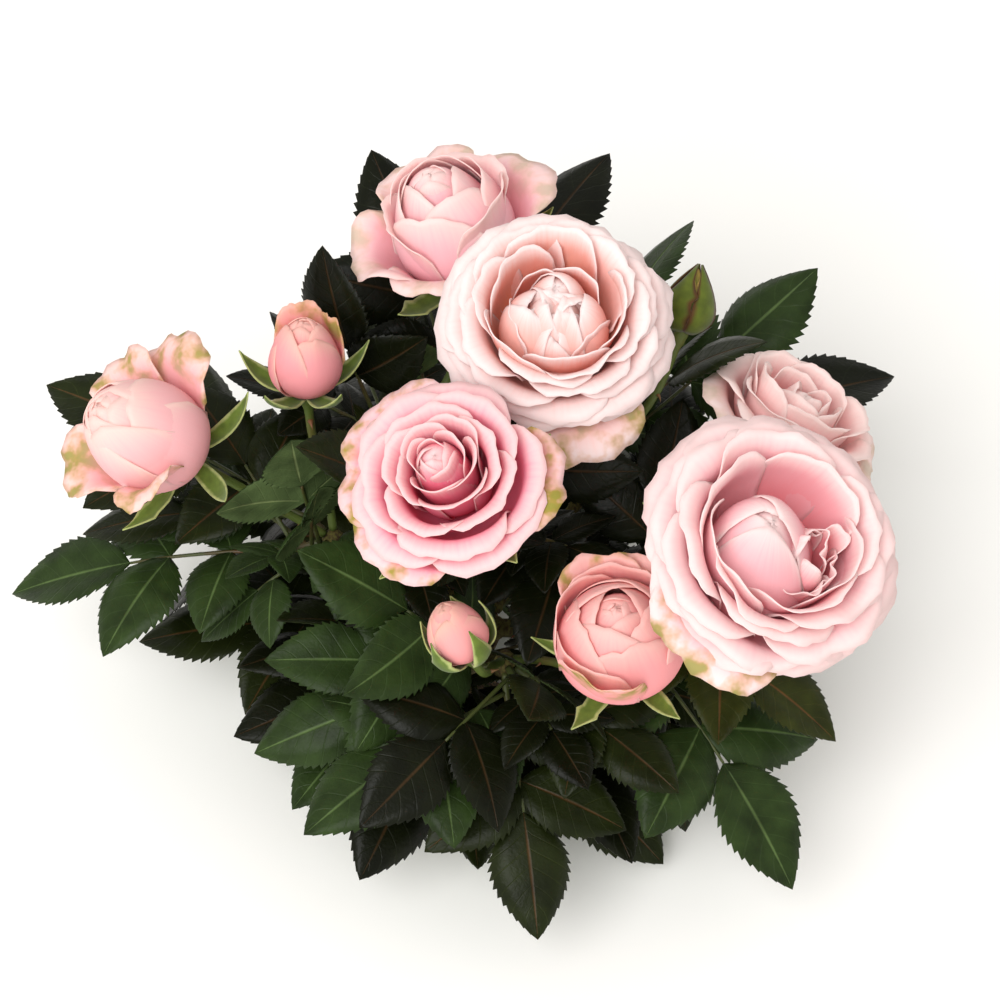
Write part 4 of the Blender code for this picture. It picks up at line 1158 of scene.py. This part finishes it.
def stalk_paths(feet):
    """All flower stalks and their radii, each swelling into a round hip under its flower.

    The swelling is the bell curve exp(-x^2) of the height off the flower's base.
    """
    paths, radii = [], []
    for name in FLOWERS:
        hip = 0.15 * FLOWERS[name][3] * MM + 1.3 * MM
        base, _, _, axis = flower_frame(name)
        path = smooth_path(stalk_path(name, feet), STALK_RINGS - HIP_RINGS)
        top = np.linspace(0, 1, HIP_RINGS + 1)[1:, None]
        path = np.vstack([path, base + axis * hip * 0.9 * top])
        level = (path - base) @ axis / hip
        near = np.linalg.norm(path - base, axis=1) < 3.2 * hip
        paths.append(path)
        radii.append(STALK_RADIUS + near * np.exp(-(((level + 0.35) / 0.95) ** 2)) * (hip - STALK_RADIUS))
    return np.array(paths), np.array(radii)


# Materials ---------------------------------------------------------------------------------------


def linear(colour):
    """An sRGB hex colour as linear red, green, blue and an alpha of one."""
    parts = [int(colour[k : k + 2], 16) / 255 for k in (1, 3, 5)]
    return (*(c / 12.92 if c <= 0.04045 else ((c + 0.055) / 1.055) ** 2.4 for c in parts), 1.0)


def fill(made, inputs):
    """Sets the node's sockets to values or hex colours, or links them to outputs of other nodes."""
    for socket, value in inputs.items():
        if isinstance(value, bpy.types.NodeSocket):
            made.id_data.links.new(value, made.inputs[socket])
        else:
            made.inputs[socket].default_value = linear(value) if isinstance(value, str) else value


def add_node(tree, kind, inputs=None, output=0, **settings):
    """Adds a node of that kind with its settings and links, and gives the output asked for."""
    made = tree.nodes.new("ShaderNode" + kind)
    for key, value in settings.items():
        setattr(made, key, value)
    fill(made, inputs or {})
    return made.outputs[output]


def new_material(name):
    """A material with a plain shader: (material, its tree, its shader)."""
    made = bpy.data.materials.new(name)
    made.use_nodes = True
    return made, made.node_tree, made.node_tree.nodes["Principled BSDF"]


def off_midrib(tree):
    """The piece's own map as how far off the midrib, up to one at the margin, and how far along."""
    across_it = add_node(tree, "SeparateXYZ", {0: add_node(tree, "UVMap", uv_map="surface")})
    signed = add_node(tree, "Math", {0: across_it, 1: 2.0, 2: -1.0}, operation="MULTIPLY_ADD")
    return add_node(tree, "Math", {0: signed}, operation="ABSOLUTE"), across_it.node.outputs[1]


def bark(name, colour, crack_colour, grain):
    """Rose bark: corky and matt, cracked lengthwise, with its cracks about a grain apart.

    The cracks are darker and lie deeper.
    """
    made, tree, shader = new_material(name)
    place = add_node(tree, "TexCoord", output="Object")
    stretched = add_node(tree, "Mapping", {"Vector": place, "Scale": (1, 1, 0.22)})
    fine = {"Vector": stretched, "Scale": 1 / grain, "Detail": 6.0, "Roughness": 0.65}
    cracks = add_node(tree, "TexNoise", fine)
    blotches = add_node(tree, "TexNoise", {"Vector": place, "Scale": 0.2 / grain, "Detail": 2.0})
    share = add_node(tree, "MapRange", {0: cracks, 1: 0.36, 2: 0.6}, interpolation_type="SMOOTHSTEP")
    mixed = add_node(tree, "Mix", {0: share, 6: crack_colour, 7: colour}, 2, data_type="RGBA")
    shade = add_node(tree, "MapRange", {0: blotches, 1: 0.3, 2: 0.7, 3: 0.75, 4: 1.12})
    toned = add_node(tree, "HueSaturation", {"Value": shade, "Color": mixed})
    bump = add_node(tree, "Bump", {"Height": cracks, "Strength": 0.9, "Distance": 0.25 * MM})
    fill(shader, {"Base Color": toned, "Normal": bump, "Roughness": 0.85, "Specular IOR Level": 0.25})
    return made


def green_stem(name, colour, flush):
    """Young rose stem: smooth waxy skin, green with a red flush where the sun has caught it."""
    made, tree, shader = new_material(name)
    place = add_node(tree, "TexCoord", output="Object")
    patches = add_node(tree, "TexNoise", {"Vector": place, "Scale": 1 / (14 * MM), "Detail": 3.0})
    grain = add_node(tree, "TexNoise", {"Vector": place, "Scale": 1 / (0.7 * MM), "Detail": 2.0})
    share = add_node(tree, "MapRange", {0: patches, 1: 0.5, 2: 0.72, 4: 0.6})
    mixed = add_node(tree, "Mix", {0: share, 6: colour, 7: flush}, 2, data_type="RGBA")
    rough = add_node(tree, "MapRange", {0: grain, 3: 0.4, 4: 0.62})
    bump = add_node(tree, "Bump", {"Height": grain, "Strength": 0.35, "Distance": 0.08 * MM})
    fill(shader, {"Base Color": mixed, "Normal": bump, "Roughness": rough, "Specular IOR Level": 0.45})
    return made


def leaf_blade(name, colour, vein_colour, rib_colour, gloss):
    """Rose leaf: a leathery blade with a waxy sheen, its veins sunk in and a little paler.

    The midrib runs along the middle of the blade's own map, flushed red on an old leaf, and the
    side veins slant off it.
    """
    made, tree, shader = new_material(name)
    aside, along = off_midrib(tree)
    # Seven side veins on each half of a blade 39 mm long are 5.5 mm apart
    slant = add_node(tree, "Math", {0: aside, 1: -1.5, 2: 0.0}, operation="MULTIPLY_ADD")
    phase = add_node(tree, "Math", {0: along, 1: 7.0, 2: slant}, operation="MULTIPLY_ADD")
    gap = add_node(tree, "Math", {0: phase, 1: 0.5}, operation="PINGPONG")
    side = add_node(tree, "MapRange", {0: gap, 1: 0.0, 2: 0.06, 3: 0.5, 4: 0.0})
    rib = add_node(tree, "MapRange", {0: aside, 1: 0.01, 2: 0.055, 3: 1.0, 4: 0.0})
    veins = add_node(tree, "Math", {0: rib, 1: side}, operation="MAXIMUM")
    place = add_node(tree, "TexCoord", output="Object")
    patches = add_node(tree, "TexNoise", {"Vector": place, "Scale": 1 / (9 * MM), "Detail": 4.0})
    pores = add_node(tree, "TexNoise", {"Vector": place, "Scale": 1 / (1.1 * MM), "Detail": 3.0})
    share = add_node(tree, "MapRange", {0: veins, 4: 0.24})
    veined = add_node(tree, "Mix", {0: share, 6: colour, 7: vein_colour}, 2, data_type="RGBA")
    ribbed = add_node(tree, "Math", {0: rib, 1: 0.7}, operation="MULTIPLY")
    mixed = add_node(tree, "Mix", {0: ribbed, 6: veined, 7: rib_colour}, 2, data_type="RGBA")
    shade = add_node(tree, "MapRange", {0: patches, 1: 0.3, 2: 0.7, 3: 0.6, 4: 1.4})
    toned = add_node(tree, "HueSaturation", {"Value": shade, "Color": mixed})
    relief = add_node(tree, "Math", {0: veins, 1: -1.0, 2: pores}, operation="MULTIPLY_ADD")
    bump = add_node(tree, "Bump", {"Height": relief, "Strength": 0.6, "Distance": 0.22 * MM})
    rough = add_node(tree, "MapRange", {0: pores, 3: gloss - 0.06, 4: gloss + 0.1})
    fill(shader, {"Base Color": toned, "Normal": bump, "Roughness": rough, "Specular IOR Level": 0.12})
    return made


# How strongly an outer petal takes the heart's colour at its base
OUTER_DEPTH = 0.35


def petal(name, heart, flesh, rim):
    """Rose petal: a thin velvety sheet that lets some light through.

    It is deepest at its base, the more so the nearer it is to the heart by its attribute "deep",
    fades to its rim, and carries fine lengthwise veins. A guard petal is weathered tan and green
    at its rim, by its attribute "weathered".
    """
    made, tree, shader = new_material(name)
    facts = ("rim", "weathered", "deep")
    share, weathered, deep = (add_node(tree, "Attribute", None, "Fac", attribute_name=fact) for fact in facts)
    place = add_node(tree, "TexCoord", output="Object")
    uv = add_node(tree, "UVMap", uv_map="surface")
    # 34 veins across a petal 40 mm wide are 1.2 mm apart, coarser than real ones so that they show
    stretched = add_node(tree, "Mapping", {"Vector": uv, "Scale": (34, 2.2, 1)})
    veins = add_node(tree, "TexNoise", {"Vector": stretched, "Scale": 1.0, "Detail": 3.0})
    patches = add_node(tree, "TexNoise", {"Vector": place, "Scale": 1 / (7 * MM), "Detail": 3.0})
    wavering = add_node(tree, "Math", {0: veins, 1: 0.16, 2: -0.08}, operation="MULTIPLY_ADD")
    along = add_node(tree, "Math", {0: share, 1: wavering}, operation="ADD")
    to_rim = add_node(tree, "MapRange", {0: along, 1: 0.7, 2: 1.0}, interpolation_type="SMOOTHSTEP")
    low = add_node(tree, "MapRange", {0: along, 1: 0.78, 2: 0.2}, interpolation_type="SMOOTHSTEP")
    low_share = add_node(tree, "Math", {0: low, 1: deep}, operation="MULTIPLY")
    body = add_node(tree, "Mix", {0: low_share, 6: flesh, 7: heart}, 2, data_type="RGBA")
    flush = add_node(tree, "MapRange", {0: deep, 1: OUTER_DEPTH, 2: 1.0, 4: 0.45})
    warm = add_node(tree, "Mix", {0: flush, 6: body, 7: heart}, 2, data_type="RGBA")
    edged = add_node(tree, "Mix", {0: to_rim, 6: warm, 7: rim}, 2, data_type="RGBA")
    worn = add_node(tree, "MapRange", {0: patches, 1: 0.42, 2: 0.62})
    spots = add_node(tree, "Math", {0: worn, 1: weathered}, operation="MULTIPLY")
    hue = add_node(tree, "MapRange", {0: patches, 1: 0.5, 2: 0.66})
    tan = add_node(tree, "Mix", {0: hue, 6: "#d9a25e", 7: "#a8a04a"}, 2, data_type="RGBA")
    stained = add_node(tree, "Mix", {0: spots, 6: edged, 7: tan}, 2, data_type="RGBA")
    bump = add_node(tree, "Bump", {"Height": veins, "Strength": 0.35, "Distance": 0.12 * MM})
    fill(shader, {"Base Color": stained, "Normal": bump, "Roughness": 0.6, "Specular IOR Level": 0.15})
    through = add_node(tree, "BsdfTranslucent", {"Color": stained, "Normal": bump})
    both = add_node(tree, "MixShader", {0: 0.3, 1: shader.outputs[0], 2: through})
    fill(tree.nodes["Material Output"], {"Surface": both})
    return made


def calyx(name, colour, edge_colour):
    """Sepals: downy green skin, darker along the middle, with a pale felted margin and tip."""
    made, tree, shader = new_material(name)
    aside, _ = off_midrib(tree)
    place = add_node(tree, "TexCoord", output="Object")
    patches = add_node(tree, "TexNoise", {"Vector": place, "Scale": 1 / (3 * MM), "Detail": 4.0})
    wavering = add_node(tree, "Math", {0: patches, 1: 0.4, 2: aside}, operation="MULTIPLY_ADD")
    edge = {0: wavering, 1: 0.8, 2: 1.15, 4: 0.85}
    share = add_node(tree, "MapRange", edge, interpolation_type="SMOOTHSTEP")
    mixed = add_node(tree, "Mix", {0: share, 6: colour, 7: edge_colour}, 2, data_type="RGBA")
    shade = add_node(tree, "MapRange", {0: patches, 1: 0.3, 2: 0.7, 3: 0.75, 4: 1.2})
    toned = add_node(tree, "HueSaturation", {"Value": shade, "Color": mixed})
    bump = add_node(tree, "Bump", {"Height": patches, "Strength": 0.4, "Distance": 0.15 * MM})
    fill(shader, {"Base Color": toned, "Normal": bump, "Roughness": 0.7})
    fill(shader, {"Specular IOR Level": 0.2, "Sheen Weight": 0.15})
    return made


def studio_floor(name, colour):
    """Matt studio paper: plain and pale, with a faint unevenness so that it isn't dead flat."""
    made, tree, shader = new_material(name)
    place = add_node(tree, "TexCoord", output="Object")
    pulp = add_node(tree, "TexNoise", {"Vector": place, "Scale": 8.0, "Detail": 2.0})
    shade = add_node(tree, "MapRange", {0: pulp, 3: 0.985, 4: 1.0})
    toned = add_node(tree, "HueSaturation", {"Value": shade, "Color": colour})
    fill(shader, {"Base Color": toned, "Roughness": 0.95, "Specular IOR Level": 0.1})
    return made


# Sizes and colours that a user would change ------------------------------------------------------

# kind of leaf: its blade, its veins and its midrib, and its roughness
LEAF_KINDS = {
    "mature": ("#191f08", "#434c20", "#4a2f1c", 0.36),
    # A darker copy of the blade: painted shade, for leaves inside and behind the bush
    "painted_shade_green": ("#0d1004", "#272f14", "#3a2716", 0.34),
    # A lighter copy of the blade: painted light, for leaves in full light
    "bright": ("#263516", "#4a6036", "#566a3c", 0.38),
    "young": ("#2a2f0d", "#545424", "#5f3c22", 0.38),
}

# How many of a shoot's leaves are of each kind: those in full light all take the lighter copy of the blade,
# which is painted light, and those inside the bush nearly all the darker copy, which is painted shade
MIXED_SHARES = (0.42, 0.36, 0.12, 0.1)
SUNLIT_SHOOTS = ("right_high", "back_right_high", "front_left", "left_inner")
SHADED_INSIDE = ("centre_left", "centre_right", "front_inner", "right_inner", "right_mid")
SHADED_BEHIND = ("back_mid", "back_low")
SHARES_OF = dict.fromkeys(SUNLIT_SHOOTS, (0, 0, 1, 0))
SHARES_OF |= dict.fromkeys(SHADED_INSIDE + SHADED_BEHIND, (0.1, 0.9, 0, 0))

# Petal colours of each flower: at the petals' base, on their blade and at their rim
PETAL_PARTS = ("heart", "flesh", "rim")
PETALS_OF = {
    "upper": ("#ff9e78", "#ffd8d3", "#ffefed"),
    "centre": ("#ff5f88", "#ffa9c0", "#ffdcdc"),
    "right": ("#ff929c", "#ffd0d6", "#ffe8e6"),
    "back": ("#ff98aa", "#ffcdd4", "#ffe4e0"),
    "far_right": ("#ffb0b0", "#ffdcda", "#ffece8"),
    "left": ("#ff9ca6", "#ffcbcd", "#ffded6"),
    "front": ("#ff8a8c", "#ffb6b8", "#ffcfc8"),
    "left_bud": ("#fd8492", "#fcb0b4", "#fac8bc"),
    "front_bud": ("#fd8a94", "#fab6b4", "#f6c8b8"),
    "green_bud": ("#7c8a35", "#8f9a42", "#c2a45a"),
}

# How weathered the rims of a flower's guard petals are
LITTLE_WEATHERED = 0.3
WEATHERED = dict.fromkeys(("upper", "right", "left", "front", "left_bud"), 0.9)
WEATHERED |= {"centre": 1.0, "back": 0.35}


def colour_setting(name, colour):
    """A colour whose default is that sRGB hex colour; the picker holds it linear."""
    return bpy.props.FloatVectorProperty(
        name=name.replace("_", " ").capitalize(),
        description="Colour of the " + name.replace("_", " "),
        default=linear(colour),
        size=4,
        min=0,
        max=1,
        subtype="COLOR",
    )


class RoseWoodSettings(bpy.types.PropertyGroup):
    """Sizes and colours of the stem and canes."""

    prickle_spacing: bpy.props.FloatProperty(
        name="Prickle spacing",
        description="Distance along a cane from one prickle to the next",
        default=8 * MM,
        min=2 * MM,
        unit="LENGTH",
    )
    old_bark: colour_setting("old bark", "#7a6448")
    young_bark: colour_setting("young bark", "#5f5a2c")


class RoseLeafSettings(bpy.types.PropertyGroup):
    """Sizes and colours of the leaves."""

    tooth: bpy.props.FloatProperty(
        name="Tooth",
        description="How far a tooth juts out, as a share of half the leaflet's width",
        default=0.05,
        min=0,
        max=0.3,
        subtype="FACTOR",
    )
    fine_rounds: bpy.props.IntProperty(
        name="Fine leaves",
        description="How many small leaves each shoot and cane tries to grow",
        default=3,
        min=0,
        max=12,
    )


for kind, looks in LEAF_KINDS.items():
    RoseLeafSettings.__annotations__[kind] = colour_setting(kind + " leaves", looks[0])


class RosePetalSettings(bpy.types.PropertyGroup):
    """Sizes and colours of the petals."""

    sheet: bpy.props.FloatProperty(
        name="Petal thickness",
        description="Thickness of a petal",
        default=PETAL_SHEET,
        min=0.05 * MM,
        unit="LENGTH",
    )


for flower, tints in PETALS_OF.items():
    for part, tint in zip(PETAL_PARTS, tints):
        RosePetalSettings.__annotations__[f"{flower}_{part}"] = colour_setting(f"{flower} {part}", tint)


class RoseStageSettings(bpy.types.PropertyGroup):
    """The camera, the lights and the floor's colour."""

    elevation: bpy.props.FloatProperty(
        name="Camera elevation",
        description="Angle of the camera's view below the horizontal",
        default=math.radians(50),
        subtype="ANGLE",
    )
    distance: bpy.props.FloatProperty(
        name="Camera distance",
        description="From the camera to the point that it looks at",
        default=0.85,
        min=0.1,
        unit="LENGTH",
    )
    lens: bpy.props.FloatProperty(
        name="Lens",
        description="Focal length in mm on a sensor 36 mm wide",
        default=109.3,
        min=10,
    )
    key_power: bpy.props.FloatProperty(
        name="Key light",
        description="Power of the large soft light above the bush",
        default=46.0,
        min=0,
        unit="POWER",
    )
    fill: bpy.props.FloatProperty(
        name="Fill light",
        description="Brightness of the even light from all round",
        default=0.84,
        min=0,
    )
    paper: colour_setting("studio paper", "#f7f6f3")


# Building steps ----------------------------------------------------------------------------------


def nodes_like(start):
    """The solids' nodes whose names start like that."""
    return [node for node in NODES if node.startswith(start)]


class GrowRoseWood(bpy.types.Operator):
    """Grows the main stem and the canes, with bark, leaf scars, knuckles and prickles."""

    bl_idname = "rosebush.grow_wood"
    bl_label = "Grow stem and canes"

    def execute(self, context):
        settings = context.scene.rose_wood
        feet = plan_feet()
        canes = nodes_like("cane_")
        old_bark = bark("corky_rose_bark", settings.old_bark, "#33261a", 1.4 * MM)
        young_bark = bark("young_cane_bark", settings.young_bark, "#3b2b1c", 0.9 * MM)
        horn = green_stem("prickle_horn", "#7a3b26", "#c08a5a")
        paths = [cane_path(cane, feet) for cane in CANES]
        thorns = prickles(paths, CANE_FOOT_RADIUS * 0.8, settings.prickle_spacing, 3)
        Patchwork().grids(stem_skin(), around=True).piece("main_stem_bark", "bark", ["main_stem"], [old_bark])
        Patchwork().grids(cane_skins(feet), around=True).piece("canes_bark", "cane", canes, [young_bark])
        Patchwork().grids(thorns, around=True).piece("cane_prickles", "cane", canes, [horn])
        return {"FINISHED"}


class GrowRoseShoots(bpy.types.Operator):
    """Grows the leafy shoots: their stems, leaf stalks and toothed leaflets."""

    bl_idname = "rosebush.grow_shoots"
    bl_label = "Grow leafy shoots"

    def execute(self, context):
        settings = context.scene.rose_leaf
        feet = plan_feet()
        space = Space()
        grown = grow_shoots(feet, space)
        grow_fine_leaves(space, grown, feet, settings.fine_rounds)
        self.grow_stems(grown)
        self.grow_blades(grown, settings)
        return {"FINISHED"}

    def grow_stems(self, grown):
        """One piece of all shoot stems and leaf stalks, as tapering tubes."""
        skin = green_stem("green_shoot_skin", "#41491f", "#5e2f22")
        stems = [stem for name, (stem, _) in grown.items() if not name.startswith("cane_")]
        stalks = [leaf["stalk"] for _, leaves in grown.values() for leaf in leaves]
        patchwork = Patchwork()
        for paths, radii, sides in (
            (stems, np.linspace(1, 0.75, 10) * SHOOT_RADIUS, 7),
            (stalks, np.linspace(0.75, 0.42, 9) * MM, 5),
        ):
            smooth = [smooth_path(path, len(radii)) for path in paths]
            patchwork.grids(tube_grids(smooth, np.tile(radii, (len(paths), 1)), sides), around=True)
        patchwork.piece("shoot_stems_and_leaf_stalks", "leaf", nodes_like("shoot_"), [skin])

    def grow_blades(self, grown, settings):
        """One piece for each kind of leaf, which is drawn for every leaf by its shoot's shares."""
        rng = np.random.default_rng(LEAF_KIND_SEED)
        underside = leaf_blade("leaf_underside", "#4a5a35", "#7d8a5a", "#7d8a5a", 0.6)
        leaflets = {kind: [] for kind in LEAF_KINDS}
        for name, (_, leaves) in grown.items():
            for leaf in leaves:
                # The shoot's shares deal out painted light and painted shade: a lighter copy of the blade in
                # full light, a darker one inside the bush
                kind = rng.choice(list(LEAF_KINDS), p=SHARES_OF.get(name, MIXED_SHARES))
                leaflets[kind].extend(leaf["leaflets"])
        for kind, (_, *others) in LEAF_KINDS.items():
            blade = leaf_blade(kind + "_leaf_blade", getattr(settings, kind), *others)
            sag = rng.uniform(*LEAFLET_SAG, len(leaflets[kind]))
            patchwork = Patchwork().patches(*leaflet_patches(leaflets[kind], sag, settings.tooth))
            patchwork.piece("leaves_" + kind, "leaf", nodes_like("shoot_"), [blade, underside], LEAFLET_SHEET)


class OpenRoseBlooms(bpy.types.Operator):
    """Opens the blooms and buds: whorls of petals set round each flower by the golden angle."""

    bl_idname = "rosebush.open_blooms"
    bl_label = "Open blooms and buds"

    def execute(self, context):
        settings = context.scene.rose_petal
        u = np.abs(np.linspace(-1, 1, PETAL_COLUMNS))[None, None, :]
        v = np.linspace(0, 1, PETAL_ROWS)[None, :, None]
        rim = np.maximum(v, 0.98 * u**4 * v**0.3)
        for seed, name in enumerate(FLOWERS):
            grids, colour = petal_grids(name, seed + 1)
            worn = WEATHERED.get(name, LITTLE_WEATHERED) * np.clip((rim - 0.5) / 0.35, 0, 1)
            weathered = (colour == 0) * worn
            deep = np.interp(colour, (1, 3), (OUTER_DEPTH, 1.0))
            patchwork = Patchwork().grids(placed_in(name, grids), rim=rim, weathered=weathered, deep=deep)
            skin = petal("petals_of_" + name, *(getattr(settings, f"{name}_{part}") for part in PETAL_PARTS))
            slot = "calyx" if name == "green_bud" else "petal"
            patchwork.piece("rose_" + name, slot, ["flower_" + name], [skin], settings.sheet)
        return {"FINISHED"}


class GrowRoseCalyxes(bpy.types.Operator):
    """Grows the flower stalks with their hips, the sepals, and the stalks' prickles."""

    bl_idname = "rosebush.grow_calyxes"
    bl_label = "Grow stalks and sepals"

    def execute(self, context):
        flowers = nodes_like("flower_")
        paths, radii = stalk_paths(plan_feet())
        skin = green_stem("flower_stalk_skin", "#56662a", "#6b4a2a")
        horn = green_stem("stalk_prickle_skin", "#7a5a36", "#8a3b2a")
        stalks = tube_grids(paths, radii, STALK_SIDES)
        thorns = prickles(paths[:, : 2 - HIP_RINGS], STALK_RADIUS, STALK_PRICKLE_SPACING, 9)
        Patchwork().grids(stalks, around=True).piece("flower_stalks_and_hips", "calyx", flowers, [skin])
        Patchwork().grids(thorns, around=True).piece("stalk_prickles", "calyx", flowers, [horn])
        *pink, green = FLOWERS
        for kind, names, felt in (
            ("sepals", pink, calyx("downy_sepal", "#5c7028", "#a9b070")),
            ("green_bud_sepals", [green], calyx("ruddy_sepal", "#525e18", "#4a2010")),
        ):
            grids = np.concatenate([placed_in(name, sepal_grids(name)) for name in names])
            Patchwork().grids(grids).piece(kind, "calyx", flowers, [felt], SEPAL_SHEET)
        return {"FINISHED"}


# Stage, in metres: the floor's half width, the round key light, and what the camera looks at
FLOOR_REACH = 20.0
KEY_LIGHT_WIDTH = 1.8
KEY_LIGHT_PLACE = (-0.72, -1.44, 1.81)
KEY_LIGHT_TARGET = (0.0, 0.0, 0.09)
CAMERA_TARGET = (0.0115, 0.0, 0.091)


class SetRoseStage(bpy.types.Operator):
    """Sets the floor, the lights and the camera."""

    bl_idname = "rosebush.set_stage"
    bl_label = "Set stage"

    def execute(self, context):
        settings = context.scene.rose_stage
        reach = FLOOR_REACH
        corners = [(-reach, -reach, 0), (reach, -reach, 0), (reach, reach, 0), (-reach, reach, 0)]
        mesh = bpy.data.meshes.new("studio_floor")
        mesh.from_pydata(corners, [], [(0, 1, 2, 3)])
        mesh.materials.append(studio_floor("studio_paper", settings.paper))
        floor = self.stand(context, mesh)
        self.lights(context, settings)
        self.camera(context, settings)
        return {"FINISHED"}

    def stand(self, context, data, place=(0, 0, 0)):
        """A new object of the stage at its place."""
        made = bpy.data.objects.new(data.name, data)
        made.location = place
        context.scene.collection.objects.link(made)
        return made

    def lights(self, context, settings):
        """Even light from all round, and a large round light above on the left, in front."""
        world = bpy.data.worlds.new("studio_air")
        world.use_nodes = True
        fill(world.node_tree.nodes["Background"], {"Color": "#fffdfa", "Strength": settings.fill})
        context.scene.world = world
        key = bpy.data.lights.new("key_light", "AREA")
        key.energy = settings.key_power
        key.shape = "DISK"
        key.size = KEY_LIGHT_WIDTH
        lamp = self.stand(context, key, KEY_LIGHT_PLACE)
        beam = Vector(KEY_LIGHT_TARGET) - lamp.location
        lamp.rotation_euler = beam.to_track_quat("-Z", "Y").to_euler()
        context.scene.view_settings.view_transform = "Standard"

    def camera(self, context, settings):
        """Looks down on the bush from in front, at the elevation and distance of the settings."""
        target = np.array(CAMERA_TARGET)
        back = np.array([0.0, -math.cos(settings.elevation), math.sin(settings.elevation)])
        lens = bpy.data.cameras.new("camera")
        lens.lens = settings.lens
        lens.sensor_width = 36
        eye = self.stand(context, lens, target + back * settings.distance)
        eye.rotation_euler = (math.pi / 2 - settings.elevation, 0, 0)
        context.scene.camera = eye


STEPS = (GrowRoseWood, GrowRoseShoots, OpenRoseBlooms, GrowRoseCalyxes, SetRoseStage)
SETTINGS = {
    "rose_wood": RoseWoodSettings,
    "rose_leaf": RoseLeafSettings,
    "rose_petal": RosePetalSettings,
    "rose_stage": RoseStageSettings,
}


class RoseBushPanel(bpy.types.Panel):
    """Lists the steps that grow the rose bush, with their settings."""

    bl_idname = "VIEW3D_PT_rose_bush"
    bl_label = "Rose bush"
    bl_space_type = "VIEW_3D"
    bl_region_type = "UI"
    bl_category = "Rose bush"

    def draw(self, context):
        for name, settings in SETTINGS.items():
            box = self.layout.box()
            for key in settings.__annotations__:
                box.prop(getattr(context.scene, name), key)
        for step in STEPS:
            self.layout.operator(step.bl_idname)


def register():
    """Adds the classes, and their settings to every scene."""
    for made in (*SETTINGS.values(), *STEPS, RoseBushPanel):
        bpy.utils.register_class(made)
    for name, settings in SETTINGS.items():
        setattr(bpy.types.Scene, name, bpy.props.PointerProperty(type=settings))


def unregister():
    """Takes the settings and the classes out again."""
    for name in SETTINGS:
        delattr(bpy.types.Scene, name)
    for made in reversed((*SETTINGS.values(), *STEPS, RoseBushPanel)):
        bpy.utils.unregister_class(made)


def main():
    """Registers the add-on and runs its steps."""
    register()
    bpy.ops.rosebush.grow_wood()
    bpy.ops.rosebush.grow_shoots()
    bpy.ops.rosebush.open_blooms()
    bpy.ops.rosebush.grow_calyxes()
    bpy.ops.rosebush.set_stage()


if __name__ == "__main__":
    main()
